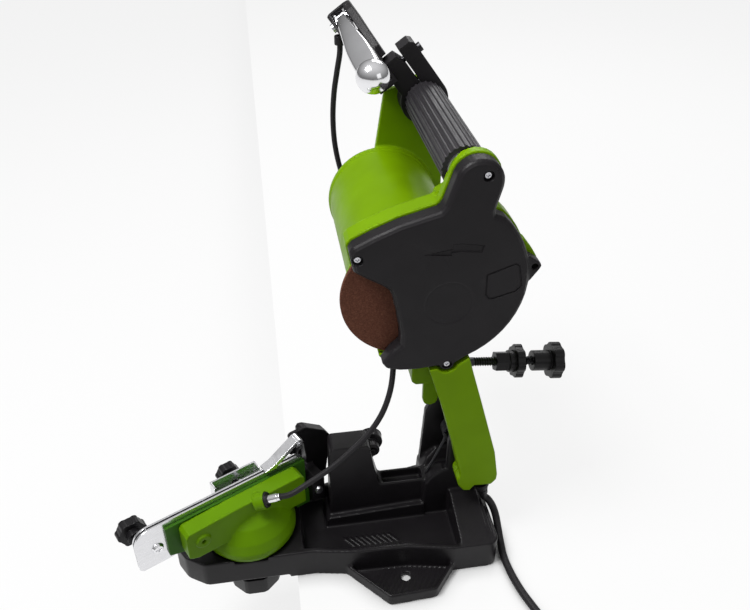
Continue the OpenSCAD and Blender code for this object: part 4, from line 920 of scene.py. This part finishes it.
path = ground_tree.nodes.new("ShaderNodeLightPath")
seen = combined(ground_tree, "MAXIMUM", path.outputs["Is Camera Ray"],
                path.outputs["Is Glossy Ray"])
under = ground_tree.nodes.new("ShaderNodeAmbientOcclusion")
under.inputs["Distance"].default_value = CONTACT
clear = spread(ground_tree, under.outputs["AO"], 0.0, WHITE_SHARE, 0.45, 0.95)
glow = ground_tree.nodes.new("ShaderNodeEmission")
glow.inputs["Strength"].default_value = WHITE
ground_mix = ground_tree.nodes.new("ShaderNodeMixShader")
ground_tree.links.new(combined(ground_tree, "MULTIPLY", seen, clear), ground_mix.inputs["Fac"])
ground_tree.links.new(ground_shader.outputs[0], ground_mix.inputs[1])
ground_tree.links.new(glow.outputs[0], ground_mix.inputs[2])
ground_tree.links.new(ground_mix.outputs[0],
                      ground_tree.nodes["Material Output"].inputs["Surface"])

# the floor lies lower than the bench and touches nothing, so it is white all over
floor_finish = ground.copy()
floor_finish.name = "pale_floor"
floor_finish.node_tree.nodes[clear.node.name].inputs["To Min"].default_value = WHITE_SHARE
print("ground", ground.name, "and", floor_finish.name)

# %% [markdown]
# ## Bench and floor
# The machine is bolted to a bench with its nose over the front edge, because the angle
# knob hangs below. The photograph looks along that edge, so it hardly shows.

# %% Bench and floor
BENCH_EDGE, BENCH_THICK, FAR = -0.0955, 0.04, 6.0
FLOOR_TOP, FLOOR_UNDER = -0.12, -0.20


def stage_box(name, low, high, finish):
    """A plain block that isn't part of the object."""
    mesh, work = bpy.data.meshes.new(name), bmesh.new()
    bmesh.ops.create_cube(work, size=1.0)
    middle = (Vector(low) + Vector(high)) / 2
    size = Vector(high) - Vector(low)
    bmesh.ops.transform(work, matrix=Matrix.Translation(middle) @ Matrix.Diagonal(
        (*size, 1.0)), verts=work.verts)
    work.to_mesh(mesh)
    work.free()
    mesh.materials.append(finish)
    placed(name, mesh)


stage_box("bench", (BENCH_EDGE, -1.6, -BENCH_THICK), (FAR, FAR, 0.0), ground)
stage_box("floor", (-FAR, -FAR, FLOOR_UNDER), (FAR, FAR, FLOOR_TOP), floor_finish)
print("bench edge at", BENCH_EDGE)

# %% [markdown]
# ## Light
# A large lamp above and to the left does the modelling, a weak one fills the near side,
# and one behind draws the far edges. The sky is dim below and brighter above, so a face
# that looks up is lighter than one that looks down, and the plated parts have something
# to mirror.

# %% Light
SKY_BELOW, SKY_ABOVE = 0.15, 0.72
LAMPS_AIM = Vector((0.0, 0.0, 0.2))
world = bpy.data.worlds.new("soft_room")
bpy.context.scene.world = world
world.use_nodes = True
sky = world.node_tree.nodes["Background"]
sky.inputs["Color"].default_value = (1.0, 1.0, 1.0, 1.0)
sky_way = world.node_tree.nodes.new("ShaderNodeTexCoord")
sky_parts = world.node_tree.nodes.new("ShaderNodeSeparateXYZ")
world.node_tree.links.new(sky_way.outputs["Generated"], sky_parts.inputs["Vector"])
world.node_tree.links.new(spread(world.node_tree, sky_parts.outputs["Z"], SKY_BELOW,
                                 SKY_ABOVE, 0.0, 1.0), sky.inputs["Strength"])


def lamp(name, at, size, power):
    """A square area lamp, in metres and watts, that faces the machine."""
    data = bpy.data.lights.new(name, "AREA")
    data.size = size
    data.energy = power
    item = placed(name, data)
    item.location = at
    face(item, LAMPS_AIM - Vector(at))


lamp("key", (-0.75, -0.15, 1.7), 0.6, 30.0)
lamp("fill", (0.9, -1.2, 0.9), 0.8, 1.5)
lamp("back", (0.5, 1.3, 1.2), 0.7, 8.0)
bpy.context.scene.view_settings.view_transform = "Standard"
print("lamps", len(bpy.data.lights))
